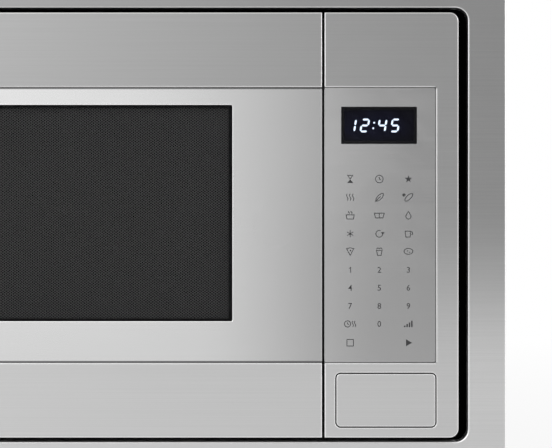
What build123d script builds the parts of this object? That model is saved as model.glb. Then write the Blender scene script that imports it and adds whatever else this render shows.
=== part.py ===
from build123d import *

import math
import os

# A built-in microwave oven of about two cubic feet, closed, in a wide trim frame for a kitchen
# cabinet. X runs to the right as seen from the front, Y into the cabinet and Z up. The origin is
# on the cabinet shelf, below the middle of the oven, in the plane of the cabinet's face.
# Lengths are millimetres. A pair of numbers is always (low, high) along one axis.

# Trim frame and the room that the cabinet cutout leaves round the oven's face
CUTOUT_SIDE_ROOM = 14.5
CUTOUT_END_ROOM = 47.0
TRIM_SIDE_LAP = 24.0
TRIM_END_LAP = 27.0
TRIM_DEPTH = 20.0
TRIM_SHEET = 1.2
TRIM_HEM = 13.0
TRIM_RETURN = 17.0
TRIM_OUTER_R = 3.0
TRIM_EDGE_R = 1.4
OPENING_R = 10.0
SIDE_GAP = 7.8
TOP_GAP = 4.1
BOTTOM_GAP = 3.7
STUD_R = 2.5
STUD_INSET = 130.0
CLIP_SIZE = (9.0, 8.0, 16.0)
CLIP_CLEAR = 0.08
CLIP_R = 1.5
CLIP_BACK = 2.0
STUD_END_CLEAR = 3.0
TRIM_HEM_R = 2.0

# Carrier in the cutout: side brackets, crossbar, deck and rails
BRACKET_SHEET = 1.5
BRACKET_DEPTH = 60.0
BRACKET_TOP_CLEAR = 12.0
BRACKET_LIP = 9.0
BRACKET_HOLE_R = 2.4
BRACKET_HOLE_SPACING = 232.0
BAFFLE_SET = 12.0
BAFFLE_CLEAR = 1.0
CROSSBAR_H = 26.0
CROSSBAR_D = 30.0
DECK_SHEET = 1.5
DECK_BACK_ROOM = 35.0
DECK_SIDE_CLEAR = 21.5
DECK_LIP = 8.0
RAIL_W = 30.0
RAIL_COUNT = 5
RAIL_WALL = 1.5
SHELF_HOLE_R = 2.5
SHELF_HOLE_INSET = 9.0
SHELF_HOLE_END = 50.0
SLOT_W = 8.0
SLOT_D = 60.0
SLOT_FIRST = 90.0
SLOT_PITCH_X = 24.0
SLOT_PITCH_Y = 88.0
SLOT_COLUMNS = 4

# Oven face: door and control panel, with a shallow wide recess between two bands
DOOR_W = 497.5
PANEL_W = 106.5
DOOR_PANEL_GAP = 2.0
FACE_H = 338.0
FACE_R = 7.0
FACE_PROUD = 6.0
BAND_H = 59.3
RECESS_SIDE = 17.7
RECESS_DEPTH = 4.0
RECESS_R = 1.8
SKIN = 1.2
EDGE_R = 0.8
DOOR_T = 34.0
DOOR_BACK_CLEAR = 2.0
DOOR_SKIN_STEP = 4.0

# Door window, panes and choke
WINDOW_SIDE = 71.4
WINDOW_TOP = 14.1
WINDOW_BOTTOM = 33.1
WINDOW_R = 1.2
WINDOW_EDGE_R = 0.5
PANE_T = 3.0
PANE_LAP = 9.0
SCREEN_T = 0.8
SCREEN_LAP = 6.0
MESH_SIDE_MARGIN = 3.8
MESH_END_MARGIN = 2.0
PANE_R = 2.0
AIR_SPACE = 2.8
DOOR_SHEET = 1.2
INNER_PANE_T = 2.5
INNER_PANE_LAP = 8.0
CHOKE_W = 14.0
CHOKE_R = 4.0
CHOKE_MOUTH_R = 2.0
COVER_T = 3.0
COVER_CLEAR = 0.3
COVER_INSET = 1.5
COVER_OPENING = 5.0
COVER_LIP = 2.5
COVER_R = 4.0

# Door hinge: pins near the left front edge
PIN_INSET = 8.0
PIN_SETBACK = 10.0
PIN_R = 3.0
PIN_L = 12.0
PIN_CLEAR = 0.06
ARM_T = 2.5
ARM_W = 9.0
ARM_INSET = 2.5
ARM_GAP = 0.3
LEAF_T = 2.5
LEAF_W = 16.0
LEAF_H = 40.0
LEAF_SET = 3.0
LEAF_SCREWS = (14.0, 30.0)
LEAF_SCREW_X = 9.0
BUSH_WALL = 2.5
BUSH_L = 12.0
BUSH_FLANGE_T = 1.2
BUSH_FLANGE_R = 7.5
HINGE_PLATE_T = 3.0
HINGE_PLATE_REACH = 14.0
HINGE_LUG_MARGIN = 3.0
BUSH_END_CLEAR = 2.0

# Oven body and cavity
BODY_D = 475.0
BODY_INSET = 2.0
WRAP = 1.0
BASE_SHEET = 1.5
FRAME_SHEET = 1.5
FOOT_H = 8.0
FOOT_R = 14.0
FOOT_INSET = 41.0
FOOT_FRONT = 50.0
FLANGE_H = 12.0
CAVITY_SIDE_ROOM = 28.25
CAVITY_LIFT = 43.0
CAVITY_ROOF_ROOM = 24.0
CAVITY_BACK_ROOM = 23.5
CAVITY_SHEET = 1.0
CAVITY_FLANGE = 6.0
CAVITY_R = 6.0
VENT_R = 2.0
VENT_PITCH = 7.0
SCREW_R = 1.9
HINGE_SCREW_R = 1.5

# Door key, latch board and release
KEY_EDGE_CLEAR = 2.0
KEY_W = 8.0
KEY_D = 8.0
KEY_END = 17.0
KEY_R = 1.0
KEY_BACK_CLEAR = 0.4
KEY_SIDE_CLEAR = 0.6
HOOK_T = 5.0
HOOK_H = 8.0
HOOK_REACH = 20.0
HOOK_TOOTH = 3.5
HOOK_TOOTH_D = 6.0
HOOK_SPACING = 190.0
HOOK_CLEAR = 0.5
HOOK_SIDE_CLEAR = 1.5
HOOK_SLOT_MARGIN = 3.0
LATCH_WALL = 3.0
LATCH_SIDE_CLEAR = 3.0
LATCH_SLOT_H = 19.0
LATCH_FOOT = 28.0
LATCH_HEAD = 40.0
STRIKE_SETBACK = 5.0
STRIKE_H = 9.0
BUTTON_LEFT = 9.5
BUTTON_RIGHT = 18.4
BUTTON_END = 8.75
BUTTON_GAP = 1.0
BUTTON_R = 3.3
BUTTON_T = 12.0
BUTTON_PLATE_T = 1.5
BUTTON_WALL = 2.5
BUTTON_EDGE_R = 0.4
BUTTON_TRAVEL = 5.0
PLUNGER_R = 3.5
PLUNGER_INSET = 5.0
PLUNGER_DROP = 9.8
PLUNGER_TIP_R = 2.5
LEVER_T = 6.0
LEVER_ARM = 28.0
LEVER_ARM_W = 8.0
LEVER_NOSE = 25.0
LEVER_NOSE_W = 5.0
LEVER_PAD_H = 9.0
LEVER_HUB_R = 6.5
LEVER_PIN_R = 3.0
LEVER_GAP = 0.3
SLIDE_CLEAR = 0.2
SPRING_WIRE_R = 0.35
KEY_SPRING_L = 16.0
KEY_SPRING_R = 3.0
KEY_SPRING_TURNS = 7
BUTTON_SPRING_R = 4.0
BUTTON_SPRING_TURNS = 8
BUTTON_SPRING_SET = 12.0
SWITCH_W = 6.4
SWITCH_D = 10.0
SWITCH_H = 19.8
SWITCH_TIP = 1.5

# Control panel
OVERLAY_T = 0.5
OVERLAY_CLEAR = 0.4
DISPLAY_LEFT = 13.3
DISPLAY_RIGHT = 32.8
DISPLAY_H = 29.6
DISPLAY_R = 0.8
DISPLAY_DROP = 15.5
LENS_LEDGE = 2.5
LENS_T = 3.0
MODULE_T = 7.0
FASCIA_D = 24.0
CARRIER_WALL = 2.0
CARRIER_CLEAR = 0.2
BOARD_T = 1.6
BOARD_MARGIN = 6.0
BOARD_H = 176.0
GUIDE_WALL = 2.2
GUIDE_L = 13.0
WIRE_HOLE_W = 50.0
WIRE_HOLE_H = 60.0
WIRE_HOLE_RISE = 20.0
WIRE_HOLE_SET = 6.0

# Turntable
TRAY_SIDE_CLEAR = 17.5
TRAY_T = 6.5
TRAY_RIM_H = 9.0
TRAY_RIM_T = 6.0
TRAY_R_EDGE = 1.5
ROLLER_R = 8.0
ROLLER_W = 8.0
ROLLER_COUNT = 3
ROLLER_SIDE_CLEAR = 1.0
RING_R = 100.0
RING_W = 7.0
RING_T = 5.0
STUB_R = 2.0
RUN_CLEAR = 0.06
ROLL_GAP = 0.3
LOBE_R = 5.0
LOBE_REACH = 13.0
LOBE_DEPTH = 3.5
LOBE_CLEAR = 0.5
SHAFT_R = 3.5
SHAFT_L = 12.0
HUB_R = 7.0
LOBE_T = 9.0
MOTOR_R = 25.0
MOTOR_T = 16.0

# Electrical bay
WAVEGUIDE = (40.0, 110.0, 92.0)
WAVEGUIDE_FRONT = 60.0
WAVEGUIDE_DROP = 20.0
WAVEGUIDE_SHEET = 1.2
PORT_SIDE_MARGIN = 14.0
PORT_LOW_MARGIN = 8.0
PORT_H = 40.0
MAGNETRON_D = 80.0
MAGNETRON_H = 64.0
MAGNETRON_L = 52.0
MAGNETRON_DROP = 34.0
MAGNETRON_SHEET = 2.0
ANODE_R = 19.0
FIN_COUNT = 9
FIN_T = 0.8
FIN_PITCH = 4.6
ANTENNA_R = 6.0
ANTENNA_L = 26.0
FILTER_BOX_L = 20.0
DUCT_CLEAR = 0.5
DUCT_D = 41.5
DUCT_H = 76.0
DUCT_WALL = 2.0
TRANSFORMER = (76.0, 104.0, 70.0)
TRANSFORMER_BACK = 215.0
CORE_LEG = 20.0
CORE_YOKE = 17.0
CAPACITOR_W = 52.0
CAPACITOR_T = 33.0
CAPACITOR_L = 92.0
CAPACITOR_BACK = 300.0
CAPACITOR_SET = 14.0
CAPACITOR_CLEAR = 0.3
CLAMP_SHEET = 1.2
CLAMP_W = 16.0
DIODE_R = 3.8
DIODE_L = 20.0
LAMP_BACK = 250.0
LAMP_DROP = 45.0
LAMP_R = 11.0
LAMP_NECK_R = 6.5
LAMP_OUT = 20.0
LAMP_SOCKET_H = 12.0
SENSOR_OUT = 120.0
FAN_BOX = 108.0
FAN_BOX_D = 36.0
FAN_BORE_R = 47.0
FAN_R = 44.0
FAN_BLADES = 5
FAN_SHAFT_R = 2.0
FAN_MOTOR_L = 26.0
FAN_RISE = 20.0
BUSHING_R = 8.0
BUSHING_FLANGE = 3.0
CORD_INSET = 36.0
CORD_RISE = 32.0
CORD_BORE_R = 4.6
BUSHING_L = 14.0


def mid(span):
    """Middle of a span."""
    return (span[0] + span[1]) / 2


def width(span):
    """Length of a span."""
    return span[1] - span[0]


def grow(span, by):
    """The span made longer by the same amount at both ends."""
    return (span[0] - by, span[1] + by)


def about(centre, length):
    """The span of this length about a centre."""
    return (centre - length / 2, centre + length / 2)


def block(x, y, z):
    """A box from its three spans."""
    return Pos(mid(x), mid(y), mid(z)) * Box(width(x), width(y), width(z))


def front_plane(y):
    """The plane at depth y, facing forward, with X to the right and Z up."""
    return Plane(origin=(0, y, 0), x_dir=(1, 0, 0), z_dir=(0, -1, 0))


def outline(x, z, corner=0.0, sides="lr"):
    """A rectangle in X and Z whose corners on the left (l) or right (r) side are rounded."""
    sketch = Pos(mid(x), mid(z)) * Rectangle(width(x), width(z))
    if corner <= 0:
        return sketch
    picked = [v for v in sketch.vertices() if ("l" if v.X < mid(x) else "r") in sides]
    return fillet(picked, corner)


def plate(x, z, y, corner=0.0, sides="lr"):
    """A plate that faces the front, from its outline and its span in depth."""
    return extrude(front_plane(y[0]) * outline(x, z, corner, sides), amount=-width(y))


def rod(start, direction, radius, length):
    """A round bar from a start point along a direction."""
    return extrude(Plane(origin=start, z_dir=direction) * Circle(radius), amount=length)


def tube(start, direction, outer, inner, length):
    """A round bar with a bore right through."""
    return rod(start, direction, outer, length) - rod(start, direction, inner, length)


def edges_at(shape, y):
    """The edges that lie in the plane at depth y."""
    return [e for e in shape.edges() if all(abs(v.Y - y) < 1e-4 for v in e.vertices())
            and abs(e.center().Y - y) < 1e-4]


def in_box(edges, x=None, z=None):
    """The edges whose centre lies within these spans."""
    kept = edges
    if x:
        kept = [e for e in kept if x[0] < e.center().X < x[1]]
    if z:
        kept = [e for e in kept if z[0] < e.center().Z < z[1]]
    return kept


def around(centre, count, radius, start=0.0):
    """Points evenly spaced on a level circle, with each one's angle in degrees."""
    for i in range(count):
        turn = start + 360.0 * i / count
        yield (centre[0] + radius * math.cos(math.radians(turn)),
               centre[1] + radius * math.sin(math.radians(turn)), turn)


# The cutout and the face
face_w = DOOR_W + DOOR_PANEL_GAP + PANEL_W
cutout_w = face_w + 2 * CUTOUT_SIDE_ROOM
cutout_h = FACE_H + 2 * CUTOUT_END_ROOM
face_mid = cutout_h / 2

# Heights
face_z = about(face_mid, FACE_H)
face_x = about(0.0, face_w)
recess_z = (face_z[0] + BAND_H, face_z[1] - BAND_H)
recess_x = grow(face_x, -RECESS_SIDE)
body_z = grow(face_z, -BODY_INSET)
body_x = grow(face_x, -BODY_INSET)
deck_top = body_z[0] - FOOT_H
cavity_z = (body_z[0] + CAVITY_LIFT, body_z[1] - CAVITY_ROOF_ROOM)

# Depths
trim_y = -TRIM_DEPTH
front_y = trim_y - FACE_PROUD
recess_y = front_y + RECESS_DEPTH
door_back = front_y + DOOR_T
frame_y = (door_back + DOOR_BACK_CLEAR, door_back + DOOR_BACK_CLEAR + FRAME_SHEET)
body_y = (frame_y[0], frame_y[0] + BODY_D)
rear_y = (body_y[1] - WRAP, body_y[1])

# Widths
door_x = (face_x[0], face_x[0] + DOOR_W)
panel_x = (door_x[1] + DOOR_PANEL_GAP, face_x[1])
door_mid = mid(door_x)
window_x = grow(door_x, -WINDOW_SIDE)
window_z = (recess_z[0] + WINDOW_BOTTOM, recess_z[1] - WINDOW_TOP)
cavity_x = grow(door_x, -CAVITY_SIDE_ROOM)
cavity_y = (frame_y[1], body_y[1] - CAVITY_BACK_ROOM)
bay_x = (cavity_x[1] + CAVITY_SHEET, body_x[1] - WRAP)
opening_x = grow(face_x, SIDE_GAP)
opening_z = (face_z[0] - BOTTOM_GAP, face_z[1] + TOP_GAP)
inner_x = grow(body_x, -WRAP)
floor_z = body_z[0] + BASE_SHEET
roof_z = body_z[1] - WRAP

# Trim frame and what holds it
bracket_top = cutout_h - BRACKET_TOP_CLEAR
baffle_y = (BAFFLE_SET, BAFFLE_SET + BRACKET_SHEET)
skirt_y = (baffle_y[1] + BAFFLE_CLEAR, baffle_y[1] + BAFFLE_CLEAR + BASE_SHEET)
baffle_edge_x = body_x[1] + BAFFLE_CLEAR
baffle_z = (RAIL_WALL + BAFFLE_CLEAR, bracket_top - CROSSBAR_H)
baffle_foot_z = (baffle_z[0], body_z[0] - BAFFLE_CLEAR)
stud_x = cutout_w / 2 + BRACKET_LIP / 2 - BRACKET_SHEET / 2
stud_z = (opening_z[0] - BOTTOM_GAP + STUD_INSET / 2, opening_z[1] - STUD_INSET / 2)
clip_y = (-BRACKET_SHEET - CLIP_SIZE[1], -BRACKET_SHEET)
deck_x = about(0.0, cutout_w - 2 * DECK_SIDE_CLEAR)
deck_y = (0.0, BODY_D - DECK_BACK_ROOM)
shelf_hole_y = grow(deck_y, -SHELF_HOLE_END)
rail_z = (0.0, deck_top - DECK_SHEET)

# Door
door_skin_back = door_back - DOOR_SKIN_STEP
pane_y = (recess_y + SKIN, recess_y + SKIN + PANE_T)
screen_y = (pane_y[1] + AIR_SPACE, pane_y[1] + AIR_SPACE + SCREEN_T)
choke_y = (screen_y[1], screen_y[1] + DOOR_SHEET)
inner_pane_y = (choke_y[1], choke_y[1] + INNER_PANE_T)
cover_y = (door_back - COVER_T, door_back)
mesh_x = grow(window_x, -MESH_SIDE_MARGIN)
mesh_z = grow(window_z, -MESH_END_MARGIN)
hinge_x = door_x[0] + PIN_INSET
hinge_y = front_y + PIN_SETBACK
upper_arm_z = (body_z[1] - ARM_INSET - ARM_T, body_z[1] - ARM_INSET)
lower_arm_z = (body_z[0] + ARM_INSET, body_z[0] + ARM_INSET + ARM_T)
notch_drop = ARM_GAP + BUSH_FLANGE_T
bush_r = PIN_R + PIN_CLEAR + BUSH_WALL
upper_notch_z = upper_arm_z[0] - notch_drop
lower_notch_z = lower_arm_z[1] + notch_drop
notch_x = (door_x[0] - 1.0, hinge_x + HINGE_PLATE_REACH)
skin_x = grow(door_x, -SKIN)
skin_z = grow(face_z, -SKIN)
choke_outer_x = grow(cavity_x, CHOKE_W)
choke_outer_z = grow(cavity_z, CHOKE_W)

# Control panel and its release button
button_x = (panel_x[0] + BUTTON_LEFT, panel_x[1] - BUTTON_RIGHT)
button_z = (face_z[0] + BUTTON_END, recess_z[0] - BUTTON_END)
button_y = (front_y, front_y + BUTTON_T)
display_x = (panel_x[0] + DISPLAY_LEFT, panel_x[1] - DISPLAY_RIGHT)
display_z = (recess_z[1] - DISPLAY_DROP - DISPLAY_H, recess_z[1] - DISPLAY_DROP)
fascia_back = front_y + FASCIA_D
fascia_recess_y = recess_y + OVERLAY_T
lens_y = (recess_y, recess_y + LENS_T)
module_y = (lens_y[1], lens_y[1] + MODULE_T)
board_y = (module_y[1], module_y[1] + BOARD_T)
carrier_x = grow(panel_x, -SKIN - CARRIER_CLEAR)
carrier_z = grow(face_z, -SKIN - CARRIER_CLEAR)
carrier_y = (fascia_recess_y + SKIN, door_back)
board_x = grow(carrier_x, -BOARD_MARGIN)
board_z = (recess_z[1] - BOARD_H, recess_z[1])
wire_x = mid(panel_x) + WIRE_HOLE_SET
wire_z = face_mid + WIRE_HOLE_RISE
plunger_x = button_x[0] + PLUNGER_INSET
plunger_z = button_z[1] - PLUNGER_DROP
button_floor = button_y[0] + BUTTON_PLATE_T + BUTTON_WALL
button_spring_x = mid(button_x) + BUTTON_SPRING_SET
button_spring_y = (button_floor + LEVER_GAP, carrier_y[1] - CARRIER_WALL)

# Lever, key and hooks, from the button's plunger back to the door's edge
key_travel = BUTTON_TRAVEL * (LEVER_NOSE + LEVER_NOSE_W / 2) / LEVER_ARM
pivot_z = plunger_z + LEVER_ARM
lower_hook = pivot_z - LEVER_ARM_W / 2 - LEVER_GAP - HOOK_TOOTH - HOOK_H
hook_heights = (lower_hook, lower_hook + HOOK_SPACING)
hook_tip = frame_y[1] + HOOK_REACH
pivot_y = hook_tip - HOOK_TOOTH_D / 2 + LEVER_NOSE
pad_y = about(pivot_y, LEVER_ARM_W)
key_x = (skin_x[1] - KEY_EDGE_CLEAR - KEY_W, skin_x[1] - KEY_EDGE_CLEAR)
key_y = (cover_y[0] - KEY_BACK_CLEAR - KEY_D, cover_y[0] - KEY_BACK_CLEAR)
key_z = (hook_heights[0] - KEY_END, hook_heights[1] + HOOK_H + KEY_END)
hook_x = about(mid(key_x), HOOK_T)
strike_y = (frame_y[1] + STRIKE_SETBACK, hook_tip - HOOK_TOOTH_D - HOOK_CLEAR)
latch_x = (hook_x[1] + LATCH_SIDE_CLEAR, hook_x[1] + LATCH_SIDE_CLEAR + LATCH_WALL)
latch_z = (pivot_z - LATCH_FOOT, hook_heights[1] + LATCH_HEAD)
switch_front = hook_tip + LEVER_GAP + SWITCH_TIP
switch_y = (switch_front, switch_front + SWITCH_D)
lever_x = (latch_x[1] + LEVER_GAP, latch_x[1] + LEVER_GAP + LEVER_T)

# Turntable
turn_x = door_mid
turn_y = mid(cavity_y)
tray_r = width(cavity_x) / 2 - TRAY_SIDE_CLEAR
roller_z = cavity_z[0] + ROLL_GAP + ROLLER_R
tray_z = roller_z + ROLLER_R + ROLL_GAP
lobe_top = tray_z + LOBE_DEPTH - ROLL_GAP
roller_reach = RING_R + RING_W / 2 + ROLLER_SIDE_CLEAR + ROLLER_W / 2

# Electrical bay and the body's underside
lamp_y = cavity_y[0] + LAMP_BACK
lamp_z = cavity_z[1] - LAMP_DROP
guide_x = (bay_x[0], bay_x[0] + WAVEGUIDE[0])
guide_y = (cavity_y[0] + WAVEGUIDE_FRONT, cavity_y[0] + WAVEGUIDE_FRONT + WAVEGUIDE[1])
guide_z = (cavity_z[1] - WAVEGUIDE_DROP - WAVEGUIDE[2], cavity_z[1] - WAVEGUIDE_DROP)
port_y = grow(guide_y, -PORT_SIDE_MARGIN)
port_z = (guide_z[0] + PORT_LOW_MARGIN, guide_z[0] + PORT_LOW_MARGIN + PORT_H)
tube_z = guide_z[1] - MAGNETRON_DROP
tube_x = guide_x[1]
cap_x = mid(bay_x) - CAPACITOR_SET
cap_y = (body_y[0] + CAPACITOR_BACK, body_y[0] + CAPACITOR_BACK + CAPACITOR_L)
cap_z = floor_z + CAPACITOR_T / 2 + CLAMP_SHEET + CAPACITOR_CLEAR
fan_x = mid(bay_x)
fan_z = face_mid + FAN_RISE
fan_y = (rear_y[0] - FAN_BOX_D, rear_y[0])
fan_motor_y = (fan_y[0] - FAN_MOTOR_L, fan_y[0])
cord_x = bay_x[1] - CORD_INSET
cord_z = body_z[0] + CORD_RISE
foot_x = body_x[1] - FOOT_INSET
foot_y = (body_y[0] + FOOT_FRONT, body_y[0] + deck_y[1] - FOOT_FRONT)


def make_trim_face_frame():
    """Pressed steel frame: flat face, outer returns with a hem, rolled opening edge, four studs."""
    outer_x = about(0.0, cutout_w + 2 * TRIM_SIDE_LAP)
    outer_z = about(face_mid, cutout_h + 2 * TRIM_END_LAP)
    shell = plate(outer_x, outer_z, (trim_y, 0.0), TRIM_OUTER_R)
    shell = fillet(edges_at(shell, trim_y), TRIM_EDGE_R)
    shell -= plate(grow(outer_x, -TRIM_SHEET), grow(outer_z, -TRIM_SHEET),
                   (trim_y + TRIM_SHEET, -TRIM_SHEET), TRIM_OUTER_R - TRIM_SHEET)
    shell -= plate(grow(outer_x, -TRIM_HEM), grow(outer_z, -TRIM_HEM), (-TRIM_SHEET, 0.0),
                   TRIM_HEM_R)
    shell += plate(grow(opening_x, TRIM_SHEET), grow(opening_z, TRIM_SHEET),
                   (trim_y, trim_y + TRIM_RETURN), OPENING_R + TRIM_SHEET)
    shell -= plate(opening_x, opening_z, (trim_y - 1.0, 0.0), OPENING_R)
    mouth = in_box(edges_at(shell, trim_y), grow(opening_x, 1.0), grow(opening_z, 1.0))
    shell = fillet(mouth, TRIM_EDGE_R)
    stud_l = TRIM_DEPTH - TRIM_SHEET - BRACKET_SHEET - STUD_END_CLEAR
    for x in (-stud_x, stud_x):
        for z in stud_z:
            shell += rod((x, trim_y + TRIM_SHEET, z), (0, 1, 0), STUD_R, stud_l)
    return shell


def make_trim_clips():
    """Four spring clips on the brackets' lips, each gripping one stud of the trim frame."""
    clips = []
    for x in (-stud_x, stud_x):
        for z in stud_z:
            clip = block(about(x, CLIP_SIZE[0]), clip_y, about(z, CLIP_SIZE[2]))
            clip = fillet(clip.edges().filter_by(Axis.Y), CLIP_R)
            clip -= rod((x, clip_y[0] - 1.0, z), (0, 1, 0), STUD_R + CLIP_CLEAR,
                        width(clip_y) - CLIP_BACK + 1.0)
            clips.append(clip)
    return clips


def make_side_bracket(side):
    """Steel angle on one side of the cutout: a web, a lip over the face and an air baffle."""
    web_x = sorted((side * (cutout_w / 2 - BRACKET_SHEET), side * cutout_w / 2))
    lip_x = sorted((side * (cutout_w / 2 - BRACKET_SHEET), side * (cutout_w / 2 + BRACKET_LIP)))
    bracket = block(web_x, (-BRACKET_SHEET, BRACKET_DEPTH), (0.0, bracket_top))
    bracket += block(lip_x, (-BRACKET_SHEET, 0.0), (0.0, bracket_top))
    baffle_x = sorted((side * baffle_edge_x, side * cutout_w / 2))
    bracket += block(baffle_x, baffle_y, baffle_z)
    baffle_foot_x = sorted((side * (deck_x[1] + BAFFLE_CLEAR), side * cutout_w / 2))
    bracket += block(baffle_foot_x, baffle_y, baffle_foot_z)
    for z in about(mid((0.0, bracket_top)), BRACKET_HOLE_SPACING):
        bracket -= rod((web_x[0] - 1.0, BRACKET_DEPTH / 2, z), (1, 0, 0),
                       BRACKET_HOLE_R, BRACKET_SHEET + 2.0)
    return bracket


def make_upper_crossbar():
    """Folded channel above the oven between the side brackets, with an air baffle under it."""
    x = about(0.0, cutout_w - 2 * BRACKET_SHEET)
    z = (bracket_top - CROSSBAR_H, bracket_top)
    bar = block(x, (BRACKET_SHEET, CROSSBAR_D), z)
    bar -= block(x, (2 * BRACKET_SHEET, CROSSBAR_D + 1.0), grow(z, -BRACKET_SHEET))
    leaf_z = (body_z[1] + BAFFLE_CLEAR, z[0] + BRACKET_SHEET)
    return bar + block(about(0.0, 2 * baffle_edge_x), baffle_y, leaf_z)


def make_support_deck():
    """Slotted steel deck under the oven, with its two sides folded down."""
    deck = block(deck_x, deck_y, (deck_top - DECK_SHEET, deck_top))
    for x in (deck_x[0], deck_x[1] - DECK_SHEET):
        deck += block((x, x + DECK_SHEET), deck_y, (deck_top - DECK_LIP, deck_top))
    slot_rows = 1 + int((deck_y[1] - SLOT_FIRST - SLOT_D / 2) // SLOT_PITCH_Y)
    for x in rail_gaps():
        for row in range(slot_rows):
            y = about(SLOT_FIRST + SLOT_PITCH_Y * row, SLOT_D)
            for column in range(SLOT_COLUMNS):
                slot_x = x + (column - (SLOT_COLUMNS - 1) / 2) * SLOT_PITCH_X
                deck -= block(about(slot_x, SLOT_W), y, (deck_top - DECK_SHEET, deck_top))
    return deck


def rail_centres():
    """The rails' middles in X: the outer two inside the deck's folded sides."""
    reach = deck_x[1] - DECK_SHEET - RAIL_W / 2
    return [-reach + 2 * reach * i / (RAIL_COUNT - 1) for i in range(RAIL_COUNT)]


def rail_gaps():
    """The middles of the spaces between neighbouring rails."""
    centres = rail_centres()
    return [mid(pair) for pair in zip(centres, centres[1:])]


def make_support_rails():
    """Box rails from the shelf up to the deck; the outer two have a flange with screw holes."""
    rails = []
    last = RAIL_COUNT - 1
    for i, centre in enumerate(rail_centres()):
        x = about(centre, RAIL_W)
        rail = block(x, deck_y, rail_z)
        rail -= block(grow(x, -RAIL_WALL), grow(deck_y, 1.0), grow(rail_z, -RAIL_WALL))
        if i in (0, last):
            side = 1 if i == last else -1
            flange = sorted((side * (cutout_w / 2 - BRACKET_SHEET), x[1 if i == last else 0]))
            rail += block(flange, deck_y, (0.0, RAIL_WALL))
            for y in shelf_hole_y:
                hole_x = side * (cutout_w / 2 - SHELF_HOLE_INSET)
                rail -= rod((hole_x, y, -1.0), (0, 0, 1), SHELF_HOLE_R, RAIL_WALL + 2.0)
        rails.append(rail)
    return rails




def hinge_notches(y0):
    """The corner spaces behind the skin that the hinge arms sweep, from depth y0 back."""
    y = (y0, door_back + 1.0)
    top = block(notch_x, y, (upper_notch_z, face_z[1] + 1.0))
    bottom = block(notch_x, y, (face_z[0] - 1.0, lower_notch_z))
    return top + bottom


def make_door_skin():
    """Stainless outer skin: two raised bands, the recess between them and the window opening."""
    skin = plate(door_x, face_z, (front_y, door_skin_back), FACE_R, "l")
    recess = (recess_x[0], door_x[1] + 5.0)
    skin -= plate(recess, recess_z, (front_y - 1.0, recess_y), RECESS_R, "l")
    pocket = plate(skin_x, skin_z, (front_y + SKIN, door_skin_back), FACE_R - SKIN, "l")
    boss_x = (recess_x[0] - SKIN, door_x[1] + 5.0)
    pocket -= plate(boss_x, grow(recess_z, SKIN), (front_y, recess_y + SKIN), RECESS_R + SKIN, "l")
    skin -= pocket
    skin = fillet(edges_at(skin, front_y), EDGE_R)
    skin -= plate(window_x, window_z, (recess_y - 1.0, recess_y + SKIN + 1.0), WINDOW_R)
    rim = in_box(edges_at(skin, recess_y), grow(window_x, 1.0), grow(window_z, 1.0))
    skin = fillet(rim, WINDOW_EDGE_R)
    return skin - hinge_notches(front_y + SKIN)


def make_door_glass():
    """Outer glass pane, bonded behind the skin's window."""
    return plate(grow(window_x, PANE_LAP), grow(window_z, PANE_LAP), pane_y, PANE_R)


def make_door_screen():
    """Sheet whose middle is perforated, behind the glass. The holes are too fine to cut here."""
    return plate(grow(window_x, SCREEN_LAP), grow(window_z, SCREEN_LAP), screen_y, PANE_R)


def make_door_frame():
    """Folded inner sheet: a flat web, the choke channel round the cavity and two hinge plates."""
    web_x = (skin_x[0], choke_outer_x[1])
    frame = plate(web_x, skin_z, choke_y, FACE_R - SKIN, "l")
    frame -= plate(mesh_x, mesh_z, grow(choke_y, 1.0), 1.0)
    wall = plate(choke_outer_x, choke_outer_z, (choke_y[0], cover_y[0] - COVER_CLEAR), CHOKE_R)
    wall -= plate(grow(choke_outer_x, -DOOR_SHEET), grow(choke_outer_z, -DOOR_SHEET),
                  grow((choke_y[0], cover_y[0]), 1.0), CHOKE_R - DOOR_SHEET)
    inner_wall = plate(grow(cavity_x, DOOR_SHEET), grow(cavity_z, DOOR_SHEET),
                       (choke_y[0], cover_y[0] - COVER_CLEAR), CHOKE_MOUTH_R + DOOR_SHEET)
    inner_wall -= plate(cavity_x, cavity_z, grow((choke_y[0], cover_y[0]), 1.0), CHOKE_MOUTH_R)
    frame += wall + inner_wall
    plate_x = (skin_x[0], notch_x[1])
    lug_y = (hinge_y - bush_r - HINGE_LUG_MARGIN, door_skin_back)
    for z in ((upper_notch_z - HINGE_PLATE_T, upper_notch_z),
              (lower_notch_z, lower_notch_z + HINGE_PLATE_T)):
        frame += block(plate_x, lug_y, z)
    frame -= hinge_notches(front_y)
    for z in (upper_notch_z - BUSH_L - BUSH_END_CLEAR, lower_notch_z - BUSH_L + BUSH_END_CLEAR):
        frame -= rod((hinge_x, hinge_y, z), (0, 0, 1), bush_r, 2 * BUSH_L)
    return frame


def make_door_inner_pane():
    """Inner pane over the screen's back, inside the choke."""
    return plate(grow(mesh_x, INNER_PANE_LAP), grow(mesh_z, INNER_PANE_LAP), inner_pane_y, PANE_R)


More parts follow.
